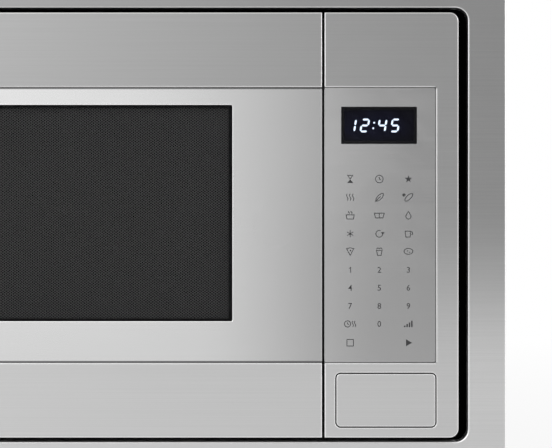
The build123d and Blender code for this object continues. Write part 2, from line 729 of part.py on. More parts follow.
def make_choke_cover():
    """Black plastic ring that closes the choke, with the key's channel at its right side."""
    ring_x = (door_x[0] + COVER_INSET, door_x[1])
    ring = plate(ring_x, grow(face_z, -COVER_INSET), cover_y, FACE_R - COVER_INSET, "l")
    opening = (grow(mesh_x, COVER_OPENING), grow(mesh_z, COVER_OPENING))
    ring += plate(grow(opening[0], COVER_LIP), grow(opening[1], COVER_LIP),
                  (inner_pane_y[1], cover_y[1]), COVER_R + COVER_LIP)
    ring -= plate(*opening, (inner_pane_y[0], cover_y[1] + 1.0), COVER_R)
    for hook in hook_heights:
        slot_z = (hook - key_travel - HOOK_SLOT_MARGIN, hook + HOOK_H + HOOK_TOOTH + HOOK_SLOT_MARGIN)
        ring -= block(grow(key_x, KEY_SIDE_CLEAR), grow(cover_y, 1.0), slot_z)
    channel_y = (key_y[0] - KEY_SIDE_CLEAR, cover_y[0])
    for z in ((key_z[0] - KEY_SPRING_L - LATCH_WALL, key_z[0] - KEY_SPRING_L),
              (key_z[1] + LEVER_GAP, key_z[1] + LEVER_GAP + LATCH_WALL)):
        ring += block((key_x[0] - KEY_SIDE_CLEAR, skin_x[1]), channel_y, z)
    return ring - hinge_notches(front_y)


def make_hinge_bushes():
    """Flanged plastic bushes in the door's hinge plates, one up and one down."""
    inner = PIN_R + PIN_CLEAR
    bushes = []
    for face, way in ((upper_notch_z, 1), (lower_notch_z, -1)):
        sleeve = rod((hinge_x, hinge_y, face - way * BUSH_L), (0, 0, way), bush_r, BUSH_L)
        flange = rod((hinge_x, hinge_y, face), (0, 0, way), BUSH_FLANGE_R, BUSH_FLANGE_T)
        bore_l = BUSH_L + BUSH_FLANGE_T + 1.0
        bore = rod((hinge_x, hinge_y, face - way * (BUSH_L - 1.0)), (0, 0, way), inner, bore_l)
        bushes.append(sleeve + flange - bore)
    return bushes


def make_hinge_bracket(arm_z, way):
    """Hinge bracket: leaf behind the front frame, arm out through its slot and a pin.

    way is +1 for the lower bracket, whose pin and leaf point up, and -1 for the upper one."""
    arm = block(about(hinge_x, ARM_W), (hinge_y, frame_y[1] + LEAF_T), arm_z)
    arm += rod((hinge_x, hinge_y, arm_z[0]), (0, 0, 1), ARM_W / 2, ARM_T)
    root = arm_z[0] if way > 0 else arm_z[1]
    leaf_z = sorted((root, root + way * LEAF_H))
    leaf_x = (hinge_x - LEAF_SET, hinge_x - LEAF_SET + LEAF_W)
    arm += block(leaf_x, (frame_y[1], frame_y[1] + LEAF_T), leaf_z)
    arm += rod((hinge_x, hinge_y, root), (0, 0, way), PIN_R, ARM_T + PIN_L)
    return arm


def make_door_key():
    """Plastic bar in the door's edge with two hooks that reach back through the front frame."""
    key = block(key_x, key_y, key_z)
    key = fillet(key.edges().filter_by(Axis.Z), KEY_R)
    for z in hook_heights:
        hook = block(hook_x, (key_y[1] - 1.0, hook_tip), (z, z + HOOK_H))
        tooth = block(hook_x, (hook_tip - HOOK_TOOTH_D, hook_tip), (z, z + HOOK_H + HOOK_TOOTH))
        ramp = tooth.edges().filter_by(Axis.X).group_by(Axis.Z)[-1].sort_by(Axis.Y)[-1]
        tooth = chamfer(ramp, HOOK_TOOTH - 0.5)
        key += hook + tooth
    return key


def coil(start, direction, radius, wire, length, turns):
    """An open compression spring whose wire's outside spans the given length."""
    rise = length - 2 * wire
    path = Helix(pitch=rise / turns, height=rise, radius=radius)
    section = Plane(origin=path @ 0, z_dir=path % 0) * Circle(wire)
    spring = sweep(section, path, is_frenet=True)
    return Plane(origin=start, z_dir=direction) * Pos(0, 0, wire) * spring


def make_key_spring():
    """Compression spring under the key."""
    return coil((mid(key_x), mid(key_y), key_z[0] - KEY_SPRING_L), (0, 0, 1), KEY_SPRING_R,
                SPRING_WIRE_R, KEY_SPRING_L, KEY_SPRING_TURNS)


# Oven body
def make_front_frame():
    """Flat steel front of the body, round the cavity's mouth, with slots for hinges and hooks."""
    frame = plate(inner_x, (floor_z, roof_z), frame_y)
    frame -= plate(cavity_x, cavity_z, grow(frame_y, 1.0), CAVITY_R)
    for z in (upper_arm_z, lower_arm_z):
        frame -= block(about(hinge_x, ARM_W + 1.0), grow(frame_y, 1.0), grow(z, 0.5))
    for z in hook_heights:
        slot_low = z - key_travel - HOOK_SIDE_CLEAR
        frame -= block((hook_x[0] - HOOK_SIDE_CLEAR, hook_x[1] + LATCH_SIDE_CLEAR),
                       grow(frame_y, 1.0), (slot_low, slot_low + LATCH_SLOT_H))
    frame -= rod((plunger_x, frame_y[0] - 1.0, plunger_z), (0, 1, 0), PLUNGER_R + GUIDE_WALL,
                 FRAME_SHEET + 2.0)
    frame -= plate(about(wire_x, WIRE_HOLE_W), about(wire_z, WIRE_HOLE_H), grow(frame_y, 1.0), 4.0)
    return frame


def make_oven_cavity():
    """Welded steel cavity, open at the front, with its waveguide port, vents and shaft hole."""
    shell_x, shell_z = grow(cavity_x, CAVITY_SHEET), grow(cavity_z, CAVITY_SHEET)
    shell = plate(shell_x, shell_z, (cavity_y[0], cavity_y[1] + CAVITY_SHEET), CAVITY_R + 1.0)
    flange = plate(grow(cavity_x, CAVITY_FLANGE), grow(cavity_z, CAVITY_FLANGE),
                   (cavity_y[0], cavity_y[0] + CAVITY_SHEET), CAVITY_R + CAVITY_FLANGE)
    shell += flange
    shell -= plate(cavity_x, cavity_z, (cavity_y[0] - 1.0, cavity_y[1]), CAVITY_R)
    shell -= rod((turn_x, turn_y, shell_z[0] - 1.0), (0, 0, 1), HUB_R + 2.0, CAVITY_SHEET + 2.0)
    wall = (cavity_x[1] - 1.0, shell_x[1] + 1.0)
    shell -= block(wall, port_y, port_z)
    for y, z in vent_points(lamp_y, lamp_z, 5, 4):
        shell -= rod((wall[0], y, z), (1, 0, 0), VENT_R, width(wall))
    for y, z in vent_points(mid(cavity_y), cavity_z[1] - 60.0, 12, 4):
        shell -= rod((shell_x[0] - 1.0, y, z), (1, 0, 0), VENT_R, CAVITY_SHEET + 2.0)
    return shell


def vent_points(centre_a, centre_b, count_a, count_b):
    """A grid of vent holes about a centre, as pairs of coordinates."""
    for i in range(count_a):
        for j in range(count_b):
            yield (centre_a + (i - (count_a - 1) / 2) * VENT_PITCH,
                   centre_b + (j - (count_b - 1) / 2) * VENT_PITCH)


def make_base_plate():
    """Bottom sheet of the body with folded sides, bay vents and an air baffle over the deck."""
    y = (body_y[0], rear_y[0])
    base = block(body_x, y, (body_z[0], floor_z))
    base += block(grow(body_x, -BAFFLE_CLEAR), skirt_y, (deck_top + BAFFLE_CLEAR, floor_z))
    side_z = (body_z[0], floor_z + FLANGE_H)
    for x in (inner_x[0], inner_x[1] - BASE_SHEET):
        base += block((x, x + BASE_SHEET), (frame_y[1] + LEAF_T + 2.0, y[1]), side_z)
    base += block(inner_x, (y[1] - BASE_SHEET, y[1]), side_z)
    for x, row in vent_points(mid(bay_x), body_y[0] + 120.0, 12, 9):
        base -= rod((x, row, body_z[0] - 1.0), (0, 0, 1), VENT_R, BASE_SHEET + 2.0)
    return base


def make_outer_wrapper():
    """Roof and both sides of the body in one folded sheet, with louvre slots and rear tabs."""
    y = (body_y[0], rear_y[0])
    z = (floor_z, body_z[1])
    wrap = block(body_x, y, z) - block(inner_x, grow(y, 1.0), (z[0] - 1.0, roof_z))
    tab_y = (y[1] - WRAP, y[1])
    wrap += block(inner_x, tab_y, (roof_z - FLANGE_H, roof_z))
    for side in (0, 1):
        tab = sorted((inner_x[side], inner_x[side] + (1 - 2 * side) * FLANGE_H))
        wrap += block(tab, tab_y, (floor_z + FLANGE_H, roof_z))
    slot_z = about(mid(z), 3.0)
    for row in range(9):
        level = (slot_z[0] + (row - 4) * 11.0, slot_z[1] + (row - 4) * 11.0)
        for x in (body_x[0] - 1.0, inner_x[1] - 1.0):
            wrap -= block((x, x + WRAP + 2.0), about(body_y[1] - 90.0, 70.0), level)
    return wrap


def make_rear_panel():
    """Back sheet of the body with the fan's inlet holes, exhaust slots and the cord's hole."""
    panel = plate(body_x, body_z, rear_y)
    for i, (x, z) in enumerate(vent_points(fan_x, fan_z, 13, 13)):
        if math.hypot(x - fan_x, z - fan_z) < FAN_R:
            panel -= rod((x, rear_y[0] - 1.0, z), (0, 1, 0), VENT_R, WRAP + 2.0)
    for row in range(7):
        level = about(cavity_z[1] - 30.0 - 14.0 * row, 4.0)
        panel -= block(about(door_mid - 90.0, 120.0), grow(rear_y, 1.0), level)
    panel -= rod((cord_x, rear_y[0] - 1.0, cord_z), (0, 1, 0), BUSHING_R, WRAP + 2.0)
    return panel


def make_feet():
    """Four rubber feet between the body and the deck."""
    feet = []
    for x in (-foot_x, foot_x):
        for y in foot_y:
            foot = rod((x, y, deck_top), (0, 0, 1), FOOT_R, FOOT_H)
            feet.append(chamfer(foot.edges().group_by(Axis.Z)[0], 1.5))
    return feet


def screw(head, direction, shank_r, length):
    """A cross-head screw whose head sits on a face and whose shank goes along the direction."""
    head_r, head_t = 2.1 * shank_r, 1.2 * shank_r
    top = Vector(*head) - Vector(*direction) * head_t
    body = rod(top, direction, head_r, head_t)
    rims = body.edges().filter_by(GeomType.CIRCLE)
    body = fillet(rims.sort_by(lambda e: (e.arc_center - top).length)[0], 0.5 * shank_r)
    body += rod(head, direction, shank_r, length)
    slot_plane = Plane(origin=top, z_dir=direction)
    for turn in (0, 90):
        body -= slot_plane * Rot(0, 0, turn) * Box(1.1 * head_r, 0.25 * head_r, head_t)
    return body


def rear_screw_places():
    """Where the screws go through the rear panel into the wrapper's and the base's tabs."""
    high, low = roof_z - FLANGE_H / 2, floor_z + FLANGE_H / 2
    places = [(x, high) for x in (-220.0, -70.0, 80.0, 220.0)]
    places += [(x, low) for x in (-220.0, 0.0, 180.0)]
    for side in (-1, 1):
        for z in (face_mid - 80.0, face_mid + 80.0):
            places.append((side * (inner_x[1] - FLANGE_H / 2), z))
    return places


def drill_rear(shape):
    """The shape with the rear screws' holes cut through it."""
    for x, z in rear_screw_places():
        shape -= rod((x, rear_y[0] - 5.0, z), (0, 1, 0), SCREW_R, 8.0)
    return shape


def make_rear_screws():
    """The screws that hold the rear panel."""
    return [screw((x, rear_y[1], z), (0, -1, 0), SCREW_R, 4.0) for x, z in rear_screw_places()]


def make_cord_bushing():
    """Flanged plastic bushing where the mains lead enters the rear panel."""
    start = (cord_x, rear_y[1] + BUSHING_FLANGE - BUSHING_L, cord_z)
    bush = rod(start, (0, 1, 0), BUSHING_R, BUSHING_L)
    bush += rod((cord_x, rear_y[1], cord_z), (0, 1, 0), BUSHING_R + BUSHING_FLANGE, BUSHING_FLANGE)
    return bush - rod((cord_x, start[1] - 1.0, cord_z), (0, 1, 0), CORD_BORE_R, BUSHING_L + 2.0)


# Microwave power parts in the bay
def make_waveguide():
    """Sheet-metal waveguide on the cavity's right wall, with the magnetron's hole."""
    guide = block(guide_x, guide_y, guide_z)
    inner_guide_x = (guide_x[0] - 1.0, guide_x[1] - WAVEGUIDE_SHEET)
    guide -= block(inner_guide_x, grow(guide_y, -WAVEGUIDE_SHEET), grow(guide_z, -WAVEGUIDE_SHEET))
    return guide - rod((guide_x[1] - WAVEGUIDE_SHEET - 1.0, mid(guide_y), tube_z), (1, 0, 0),
                       2 * ANTENNA_R, WAVEGUIDE_SHEET + 2.0)


def make_waveguide_cover():
    """Mica sheet over the waveguide's port, inside the cavity."""
    return block((cavity_x[1] - 0.8, cavity_x[1]), grow(port_y, 8.0), grow(port_z, 8.0))


def make_magnetron():
    """Magnetron: mounting plate, yoke, stack of cooling fins, filter box and antenna."""
    y, z = about(mid(guide_y), MAGNETRON_D), about(tube_z, MAGNETRON_H)
    yoke_x = (tube_x, tube_x + MAGNETRON_L)
    body = block((tube_x, tube_x + MAGNETRON_SHEET), grow(y, 3 * MAGNETRON_SHEET), z)
    yoke = block(yoke_x, y, z)
    yoke -= block(grow(yoke_x, -MAGNETRON_SHEET), grow(y, 1.0), grow(z, -MAGNETRON_SHEET))
    body += yoke + rod((tube_x, mid(y), tube_z), (1, 0, 0), ANODE_R, MAGNETRON_L)
    for i in range(FIN_COUNT):
        x = mid(yoke_x) + (i - (FIN_COUNT - 1) / 2) * FIN_PITCH
        body += block(about(x, FIN_T), grow(y, -1.0), z)
    body += block((yoke_x[1], yoke_x[1] + FILTER_BOX_L), grow(y, -10.0), grow(z, -8.0))
    body += rod((tube_x - ANTENNA_L, mid(y), tube_z), (1, 0, 0), ANTENNA_R, ANTENNA_L + 1.0)
    return body


def make_air_duct():
    """Plastic duct that leads the fan's air through the magnetron's fins."""
    y = (guide_y[1] + DUCT_CLEAR, guide_y[1] + DUCT_CLEAR + DUCT_D)
    x = (bay_x[0], tube_x + MAGNETRON_L + 4 * DUCT_WALL)
    z = about(tube_z, DUCT_H)
    duct = block(x, y, z) - block(grow(x, -DUCT_WALL), grow(y, 1.0), grow(z, -DUCT_WALL))
    return duct + block((x[0], x[0] + DUCT_WALL), y, (z[0] - 14.0, z[0]))


def make_transformer():
    """High-voltage transformer: laminated core with two windings, on feet on the base."""
    x, y = about(mid(bay_x), TRANSFORMER[0]), about(body_y[0] + TRANSFORMER_BACK, TRANSFORMER[1])
    z = (floor_z, floor_z + TRANSFORMER[2])
    core = block(x, y, z)
    for side in (y[0] + CORE_LEG, y[1] - 2 * CORE_LEG):
        core -= block(grow(x, 1.0), (side, side + CORE_LEG), grow(z, -CORE_YOKE))
    core += block(grow(x, 12.0), y, (z[0], z[0] + 3.0))
    winding = block(grow(x, 13.0), grow(y, -CORE_LEG - 1.0), grow(z, -CORE_YOKE - 1.0))
    winding = fillet(winding.edges().filter_by(Axis.Y), 9.0)
    return core + winding


def capacitor_section(y, grow_by=0.0):
    """The capacitor's oval outline at depth y, larger all round by the second value."""
    oval = SlotOverall(CAPACITOR_W + 2 * grow_by, CAPACITOR_T + 2 * grow_by)
    return front_plane(y) * Pos(cap_x, cap_z) * oval


def make_capacitor():
    """Oval high-voltage capacitor with two terminals."""
    can = extrude(capacitor_section(cap_y[0]), amount=-width(cap_y))
    for x in about(cap_x, CAPACITOR_W - 30.0):
        can += block(about(x, 6.3), (cap_y[0] - 9.0, cap_y[0]), about(cap_z, 0.8))
    return can


def make_capacitor_clamp():
    """Steel band round the capacitor, with a foot on the base plate."""
    y = about(mid(cap_y), CLAMP_W)
    band = extrude(capacitor_section(y[0], CLAMP_SHEET), amount=-CLAMP_W)
    foot_from = cap_x + CAPACITOR_W / 4
    band += block((foot_from, foot_from + CAPACITOR_T), y, (floor_z, floor_z + CLAMP_SHEET))
    return band - extrude(capacitor_section(y[0] - 1.0), amount=-CLAMP_W - 2.0)


def make_diode():
    """High-voltage diode with its chassis eyelet."""
    x, y = cap_x + CAPACITOR_W / 2 + 10.0, cap_y[0] - 16.0
    eyelet = block(about(x, 10.0), about(y, 10.0), (floor_z, floor_z + 0.8))
    lead = block(about(x, 1.2), about(y, 1.2), (floor_z, floor_z + 9.0))
    return eyelet + lead + rod((x, y, floor_z + 8.0), (0, 0, 1), DIODE_R, DIODE_L)


def make_fan_housing():
    """Square fan housing on the rear panel, with a three-armed spider for the motor."""
    box = plate(about(fan_x, FAN_BOX), about(fan_z, FAN_BOX), fan_y, 6.0)
    box -= rod((fan_x, fan_y[0] + 4.0, fan_z), (0, 1, 0), FAN_BORE_R, FAN_BOX_D)
    ports = rod((fan_x, fan_y[0] - 1.0, fan_z), (0, 1, 0), FAN_BORE_R - 4.0, 6.0)
    ports -= rod((fan_x, fan_y[0] - 1.0, fan_z), (0, 1, 0), 20.0, 6.0)
    for turn in (90, 210, 330):
        arm = Pos(fan_x, fan_y[0] + 2.0, fan_z) * Rot(0, turn, 0) * Pos(26.0, 0, 0) * Box(60, 8, 9)
        ports -= arm
    box -= ports
    return box - rod((fan_x, fan_y[0] - 1.0, fan_z), (0, 1, 0), 6.0, 6.0)


def make_fan_motor():
    """Shaded-pole fan motor: stator block with a round coil, bored for the fan's shaft."""
    y = fan_motor_y
    stator = block(about(fan_x, 50.0), (y[0] + 6.0, y[1]), about(fan_z, 50.0))
    stator = fillet(stator.edges().filter_by(Axis.Y), 4.0)
    stator += rod((fan_x, y[0], fan_z), (0, 1, 0), 14.0, FAN_MOTOR_L)
    bore = FAN_SHAFT_R + RUN_CLEAR
    return stator - rod((fan_x, y[0] + 3.0, fan_z), (0, 1, 0), bore, FAN_MOTOR_L)


def make_fan_blade():
    """Fan: hub, shaft and pitched blades."""
    hub_y = (fan_y[0] + 8.0, rear_y[0] - 6.0)
    fan = rod((fan_x, hub_y[0], fan_z), (0, 1, 0), 11.0, width(hub_y))
    for i in range(FAN_BLADES):
        blade = Box(FAN_R - 8.0, 1.6, 22.0)
        blade = fillet(blade.edges().filter_by(Axis.Y).group_by(Axis.X)[-1], 6.0)
        turned = Rot(0, i * 360.0 / FAN_BLADES, 0) * Pos(FAN_R / 2 + 4.0, 0, 0) * Rot(52, 0, 0)
        fan += Pos(fan_x, mid(hub_y), fan_z) * turned * blade
    shaft_start = fan_motor_y[0] + 3.0 + ROLL_GAP
    return fan + rod((fan_x, shaft_start, fan_z), (0, 1, 0), FAN_SHAFT_R, hub_y[0] - shaft_start)


def make_lamp_holder():
    """Bracket on the cavity's wall that holds the oven lamp."""
    y = about(lamp_y, 16.0)
    shelf_top = lamp_z - 2 * LAMP_R
    back = block((bay_x[0], bay_x[0] + 1.5), y, (shelf_top - 22.0, shelf_top))
    shelf = block((bay_x[0], bay_x[0] + LAMP_OUT + 14.0), y, (shelf_top - 1.5, shelf_top))
    socket = rod((bay_x[0] + LAMP_OUT, lamp_y, shelf_top), (0, 0, 1), 9.0, LAMP_SOCKET_H)
    return back + shelf + socket


def make_oven_lamp():
    """Small clear oven lamp standing in its holder."""
    base = (bay_x[0] + LAMP_OUT, lamp_y, lamp_z - 2 * LAMP_R + LAMP_SOCKET_H)
    bulb = rod(base, (0, 0, 1), LAMP_NECK_R, LAMP_R)
    return bulb + Pos(base[0], base[1], base[2] + 1.5 * LAMP_R) * Sphere(LAMP_R)


def make_filter_board():
    """Mains filter board on stand-offs on the rear panel: choke, capacitor and fuse."""
    x, z = (bay_x[0] + 20.0, bay_x[1] - 22.0), (roof_z - FLANGE_H - 62.0, roof_z - FLANGE_H - 2.0)
    y = (rear_y[0] - 10.0, rear_y[0] - 8.4)
    board = block(x, y, z)
    for px in (x[0] + 6.0, x[1] - 6.0):
        for pz in (z[0] + 6.0, z[1] - 6.0):
            board += rod((px, y[1] - 0.5, pz), (0, 1, 0), 3.0, 8.9)
    board += block((x[0] + 12.0, x[0] + 36.0), (y[0] - 18.0, y[0]), (z[0] + 20.0, z[0] + 46.0))
    board += block((x[0] + 44.0, x[0] + 54.0), (y[0] - 15.0, y[0]), (z[0] + 18.0, z[0] + 48.0))
    board += rod((x[0] + 62.0, y[0] - 4.0, z[0] + 14.0), (0, 0, 1), 3.2, 30.0)
    return board + block((x[0] + 59.0, x[0] + 65.0), (y[0] - 4.0, y[0]), (z[0] + 16.0, z[0] + 42.0))


def make_thermal_cutouts():
    """Two disc thermostats: one on the cavity's roof and one on the magnetron's yoke."""
    roof = cavity_z[1] + CAVITY_SHEET
    places = [(door_mid + SENSOR_OUT, mid(cavity_y), roof),
              (tube_x + MAGNETRON_L / 2, mid(guide_y), tube_z + MAGNETRON_H / 2)]
    discs = []
    for x, y, z in places:
        disc = rod((x, y, z), (0, 0, 1), 8.0, 5.0)
        disc += block(about(x, 24.0), about(y, 7.0), (z, z + 1.0))
        for side in (-4.5, 4.5):
            disc += block(about(x + side, 0.8), about(y, 6.3), (z + 5.0, z + 13.0))
        discs.append(disc)
    return discs


def make_humidity_sensor():
    """Humidity sensor can over the exhaust, on the cavity's roof."""
    x, y, z = door_mid - SENSOR_OUT, cavity_y[1] - SENSOR_OUT / 2, cavity_z[1] + CAVITY_SHEET
    return block(about(x, 30.0), about(y, 18.0), (z, z + 1.2)) + rod((x, y, z), (0, 0, 1), 6.0, 9.0)


# Turntable
def make_turntable_motor():
    """Flat synchronous motor under the cavity's floor."""
    top = cavity_z[0] - CAVITY_SHEET
    motor = rod((turn_x, turn_y, top - MOTOR_T), (0, 0, 1), MOTOR_R, MOTOR_T)
    motor += block(about(turn_x, 2 * MOTOR_R + 16.0), about(turn_y, 9.0), (top - 1.2, top))
    motor += block(about(turn_x, 18.0), (turn_y + MOTOR_R - 4.0, turn_y + MOTOR_R + 9.0),
                   (top - 11.0, top - 3.0))
    bore_z = top - SHAFT_L
    return motor - rod((turn_x, turn_y, bore_z), (0, 0, 1), SHAFT_R + RUN_CLEAR, SHAFT_L + 1.0)


def lobed(radius, reach, z):
    """Three-lobed outline as a solid: a hub with three round-ended arms."""
    shape = rod((turn_x, turn_y, z[0]), (0, 0, 1), HUB_R - LOBE_R + radius, width(z))
    for x, y, turn in around((turn_x, turn_y), 3, reach / 2, 90.0):
        arm = Pos(x, y, mid(z)) * Rot(0, 0, turn) * Box(reach, 2 * radius, width(z))
        shape += arm
    for x, y, _ in around((turn_x, turn_y), 3, reach, 90.0):
        shape += rod((x, y, z[0]), (0, 0, 1), radius, width(z))
    return shape


def make_drive_coupler():
    """Coupler: shaft in the motor, neck through the floor and a three-lobed head."""
    bottom = cavity_z[0] - CAVITY_SHEET - SHAFT_L + ROLL_GAP
    coupler = rod((turn_x, turn_y, bottom), (0, 0, 1), SHAFT_R, cavity_z[0] - bottom)
    coupler += rod((turn_x, turn_y, cavity_z[0]), (0, 0, 1), HUB_R, lobe_top - cavity_z[0])
    return coupler + lobed(LOBE_R, LOBE_REACH, (lobe_top - LOBE_T, lobe_top))


def make_glass_tray():
    """Round glass tray with a raised rim; the coupler's lobes fit in its underside."""
    tray = rod((turn_x, turn_y, tray_z), (0, 0, 1), tray_r, TRAY_T + TRAY_RIM_H)
    tray -= rod((turn_x, turn_y, tray_z + TRAY_T), (0, 0, 1), tray_r - TRAY_RIM_T, TRAY_RIM_H + 1.0)
    rims = tray.edges().filter_by(GeomType.CIRCLE).group_by(Axis.Z)
    tray = fillet(list(rims[0]) + list(rims[-1]), TRAY_R_EDGE)
    pocket = (tray_z - 1.0, tray_z + LOBE_DEPTH)
    return tray - lobed(LOBE_R + LOBE_CLEAR, LOBE_REACH, pocket)


def make_roller_ring():
    """Ring under the tray with a stub axle for each roller."""
    level = (roller_z - RING_T / 2, roller_z + RING_T / 2)
    start = (turn_x, turn_y, level[0])
    ring = tube(start, (0, 0, 1), RING_R + RING_W / 2, RING_R - RING_W / 2, RING_T)
    for x, y, turn in around((turn_x, turn_y), ROLLER_COUNT, RING_R, 30.0):
        out = (math.cos(math.radians(turn)), math.sin(math.radians(turn)), 0)
        ring += rod((x, y, roller_z), out, STUB_R, roller_reach - RING_R + ROLLER_W / 2 + ROLLER_SIDE_CLEAR)
    return ring


def make_rollers():
    """The rollers on the ring's stub axles, one solid each."""
    rollers = []
    for x, y, turn in around((turn_x, turn_y), ROLLER_COUNT, roller_reach - ROLLER_W / 2, 30.0):
        out = (math.cos(math.radians(turn)), math.sin(math.radians(turn)), 0)
        rollers.append(tube((x, y, roller_z), out, ROLLER_R, STUB_R + RUN_CLEAR, ROLLER_W))
    return rollers


# Control panel
def make_panel_fascia():
    """Stainless fascia of the control panel, with the display's hole and the button's opening."""
    skin = plate(panel_x, face_z, (front_y, fascia_back), FACE_R, "r")
    recess = (panel_x[0] - 5.0, recess_x[1])
    skin -= plate(recess, recess_z, (front_y - 1.0, fascia_recess_y), RECESS_R, "r")
    pocket = plate(grow(panel_x, -SKIN), grow(face_z, -SKIN), (front_y + SKIN, fascia_back),
                   FACE_R - SKIN, "r")
    boss_x = (panel_x[0] - 5.0, recess_x[1] + SKIN)
    pocket -= plate(boss_x, grow(recess_z, SKIN), (front_y, fascia_recess_y + SKIN),
                    RECESS_R + SKIN, "r")
    skin -= pocket
    skin = fillet(edges_at(skin, front_y), EDGE_R)
    skin -= plate(grow(button_x, BUTTON_GAP), grow(button_z, BUTTON_GAP),
                  (front_y - 1.0, front_y + SKIN + 1.0), BUTTON_R + BUTTON_GAP)
    mouth = in_box(edges_at(skin, front_y), grow(button_x, 2.0), grow(button_z, 2.0))
    skin = fillet(mouth, BUTTON_EDGE_R)
    return skin - plate(grow(display_x, -LENS_LEDGE), grow(display_z, -LENS_LEDGE),
                        (fascia_recess_y - 1.0, fascia_recess_y + SKIN + 1.0), DISPLAY_R)


def make_panel_carrier():
    """Black moulded carrier behind the fascia: walls, back, board posts and button guide."""
    shell = plate(carrier_x, carrier_z, carrier_y, FACE_R - SKIN, "r")
    shell -= plate(grow(carrier_x, -CARRIER_WALL), grow(carrier_z, -CARRIER_WALL),
                   (carrier_y[0] - 1.0, carrier_y[1] - CARRIER_WALL), 2.0)
    for x in grow(carrier_x, -10.0):
        for z in (carrier_z[0] + 22.0, carrier_z[1] - 22.0):
            shell += rod((x, carrier_y[1], z), (0, 1, 0), 5.0, DOOR_BACK_CLEAR)
    posts_z = (board_z[0] + 6.0, board_z[1] - 6.0)
    for x in grow(board_x, -5.0):
        for z in posts_z:
            post_l = carrier_y[1] - CARRIER_WALL - board_y[1]
            shell += rod((x, board_y[1], z), (0, 1, 0), 3.5, post_l + 0.5)
    shell -= plate(about(wire_x, WIRE_HOLE_W - 10.0), about(wire_z, WIRE_HOLE_H - 10.0),
                   grow((carrier_y[1] - CARRIER_WALL, carrier_y[1]), 1.0), 3.0)
    start = (plunger_x, carrier_y[1] - GUIDE_L, plunger_z)
    shell += rod(start, (0, 1, 0), PLUNGER_R + GUIDE_WALL, GUIDE_L)
    return shell - rod((plunger_x, start[1] - 1.0, plunger_z), (0, 1, 0),
                       PLUNGER_R + SLIDE_CLEAR, GUIDE_L + 2.0)


def make_keypad_overlay():
    """Thin printed overlay of the membrane keypad, flush with the recess, round the display."""
    x = (panel_x[0] + OVERLAY_CLEAR, recess_x[1] - OVERLAY_CLEAR)
    sheet = plate(x, grow(recess_z, -OVERLAY_CLEAR), (recess_y, fascia_recess_y), RECESS_R, "r")
    return sheet - plate(grow(display_x, 0.15), grow(display_z, 0.15),
                         (recess_y - 1.0, fascia_recess_y + 1.0), DISPLAY_R)


def make_display_lens():
    """Dark display lens: a thin front set in the overlay and a body through the fascia's hole."""
    lens = plate(display_x, display_z, (lens_y[0], fascia_recess_y), DISPLAY_R)
    return lens + plate(grow(display_x, -LENS_LEDGE - 0.3), grow(display_z, -LENS_LEDGE - 0.3),
                        (fascia_recess_y - 0.1, lens_y[1]))


def make_display_module():
    """Vacuum display on the board, behind the lens."""
    return plate(grow(display_x, -1.0), grow(display_z, -0.5), module_y)


def make_control_board():
    """Circuit board on the carrier's posts."""
    return plate(board_x, board_z, board_y)


def make_board_relays():
    """Relays and a small transformer on the back of the control board."""
    y0 = board_y[1]
    high = carrier_y[1] - CARRIER_WALL - y0 - 1.0
    base = board_z[0] + 26.0
    parts = [block(about(mid(board_x) - 16.0, 19.0), (y0, y0 + min(high, 14.0)),
                   (base + 24.0 * i, base + 24.0 * i + 16.0)) for i in range(3)]
    parts.append(block(about(mid(board_x) + 18.0, 30.0), (y0, y0 + min(high, 14.0)),
                       (base, base + 34.0)))
    return parts


def make_button_plate():
    """Stainless face of the door-release button."""
    face = plate(button_x, button_z, (button_y[0], button_y[0] + BUTTON_PLATE_T), BUTTON_R)
    return fillet(edges_at(face, button_y[0]), BUTTON_EDGE_R)


def make_release_button():
    """Moulded body of the release button, with the plunger that reaches the lever."""
    body = plate(button_x, button_z, (button_y[0] + BUTTON_PLATE_T, button_y[1]), BUTTON_R)
    body -= plate(grow(button_x, -BUTTON_WALL), grow(button_z, -BUTTON_WALL),
                  (button_floor, button_y[1] + 1.0), 1.0)
    root = button_y[0] + BUTTON_PLATE_T
    plunger = rod((plunger_x, root, plunger_z), (0, 1, 0), PLUNGER_R, pad_y[0] - LEVER_GAP - root)
    plunger = fillet(edges_at(plunger, pad_y[0] - LEVER_GAP), PLUNGER_TIP_R)
    boss_r = BUTTON_SPRING_R - 4 * SPRING_WIRE_R
    boss = rod((button_spring_x, root, mid(button_z)), (0, 1, 0), boss_r, BUTTON_T - BUTTON_PLATE_T)
    return body + plunger + boss


def make_button_spring():
    """Compression spring behind the button, on its boss, against the carrier's back."""
    return coil((button_spring_x, button_spring_y[0], mid(button_z)), (0, 1, 0), BUTTON_SPRING_R,
                SPRING_WIRE_R, width(button_spring_y), BUTTON_SPRING_TURNS)


# Latch board and release lever
def make_latch_board():
    """Moulded latch board behind the front frame: strikes for the hooks and switch seats."""
    back_y = (switch_y[1], switch_y[1] + LATCH_WALL)
    web = block(latch_x, (frame_y[1], back_y[1]), latch_z)
    back = block((hook_x[0] - LATCH_SIDE_CLEAR, latch_x[1]), back_y, latch_z)
    board = web + back
    for z in hook_heights:
        top = z + HOOK_H + HOOK_CLEAR
        board += block((hook_x[0] - HOOK_SIDE_CLEAR, latch_x[1]), strike_y, (top, top + STRIKE_H))
    board += block(latch_x, (frame_y[1], pivot_y + 8.0), about(pivot_z, 18.0))
    nose_window = about(pivot_y - LEVER_NOSE, LEVER_NOSE_W + 7.0)
    board -= block(grow(latch_x, 1.0), nose_window,
                   (pivot_z - LEVER_ARM_W / 2 - key_travel - 3.0, pivot_z + LEVER_ARM_W / 2 + 2.0))
    return board + rod((latch_x[0], pivot_y, pivot_z), (1, 0, 0), LEVER_PIN_R,
                       lever_x[1] - latch_x[0] + 2.0)


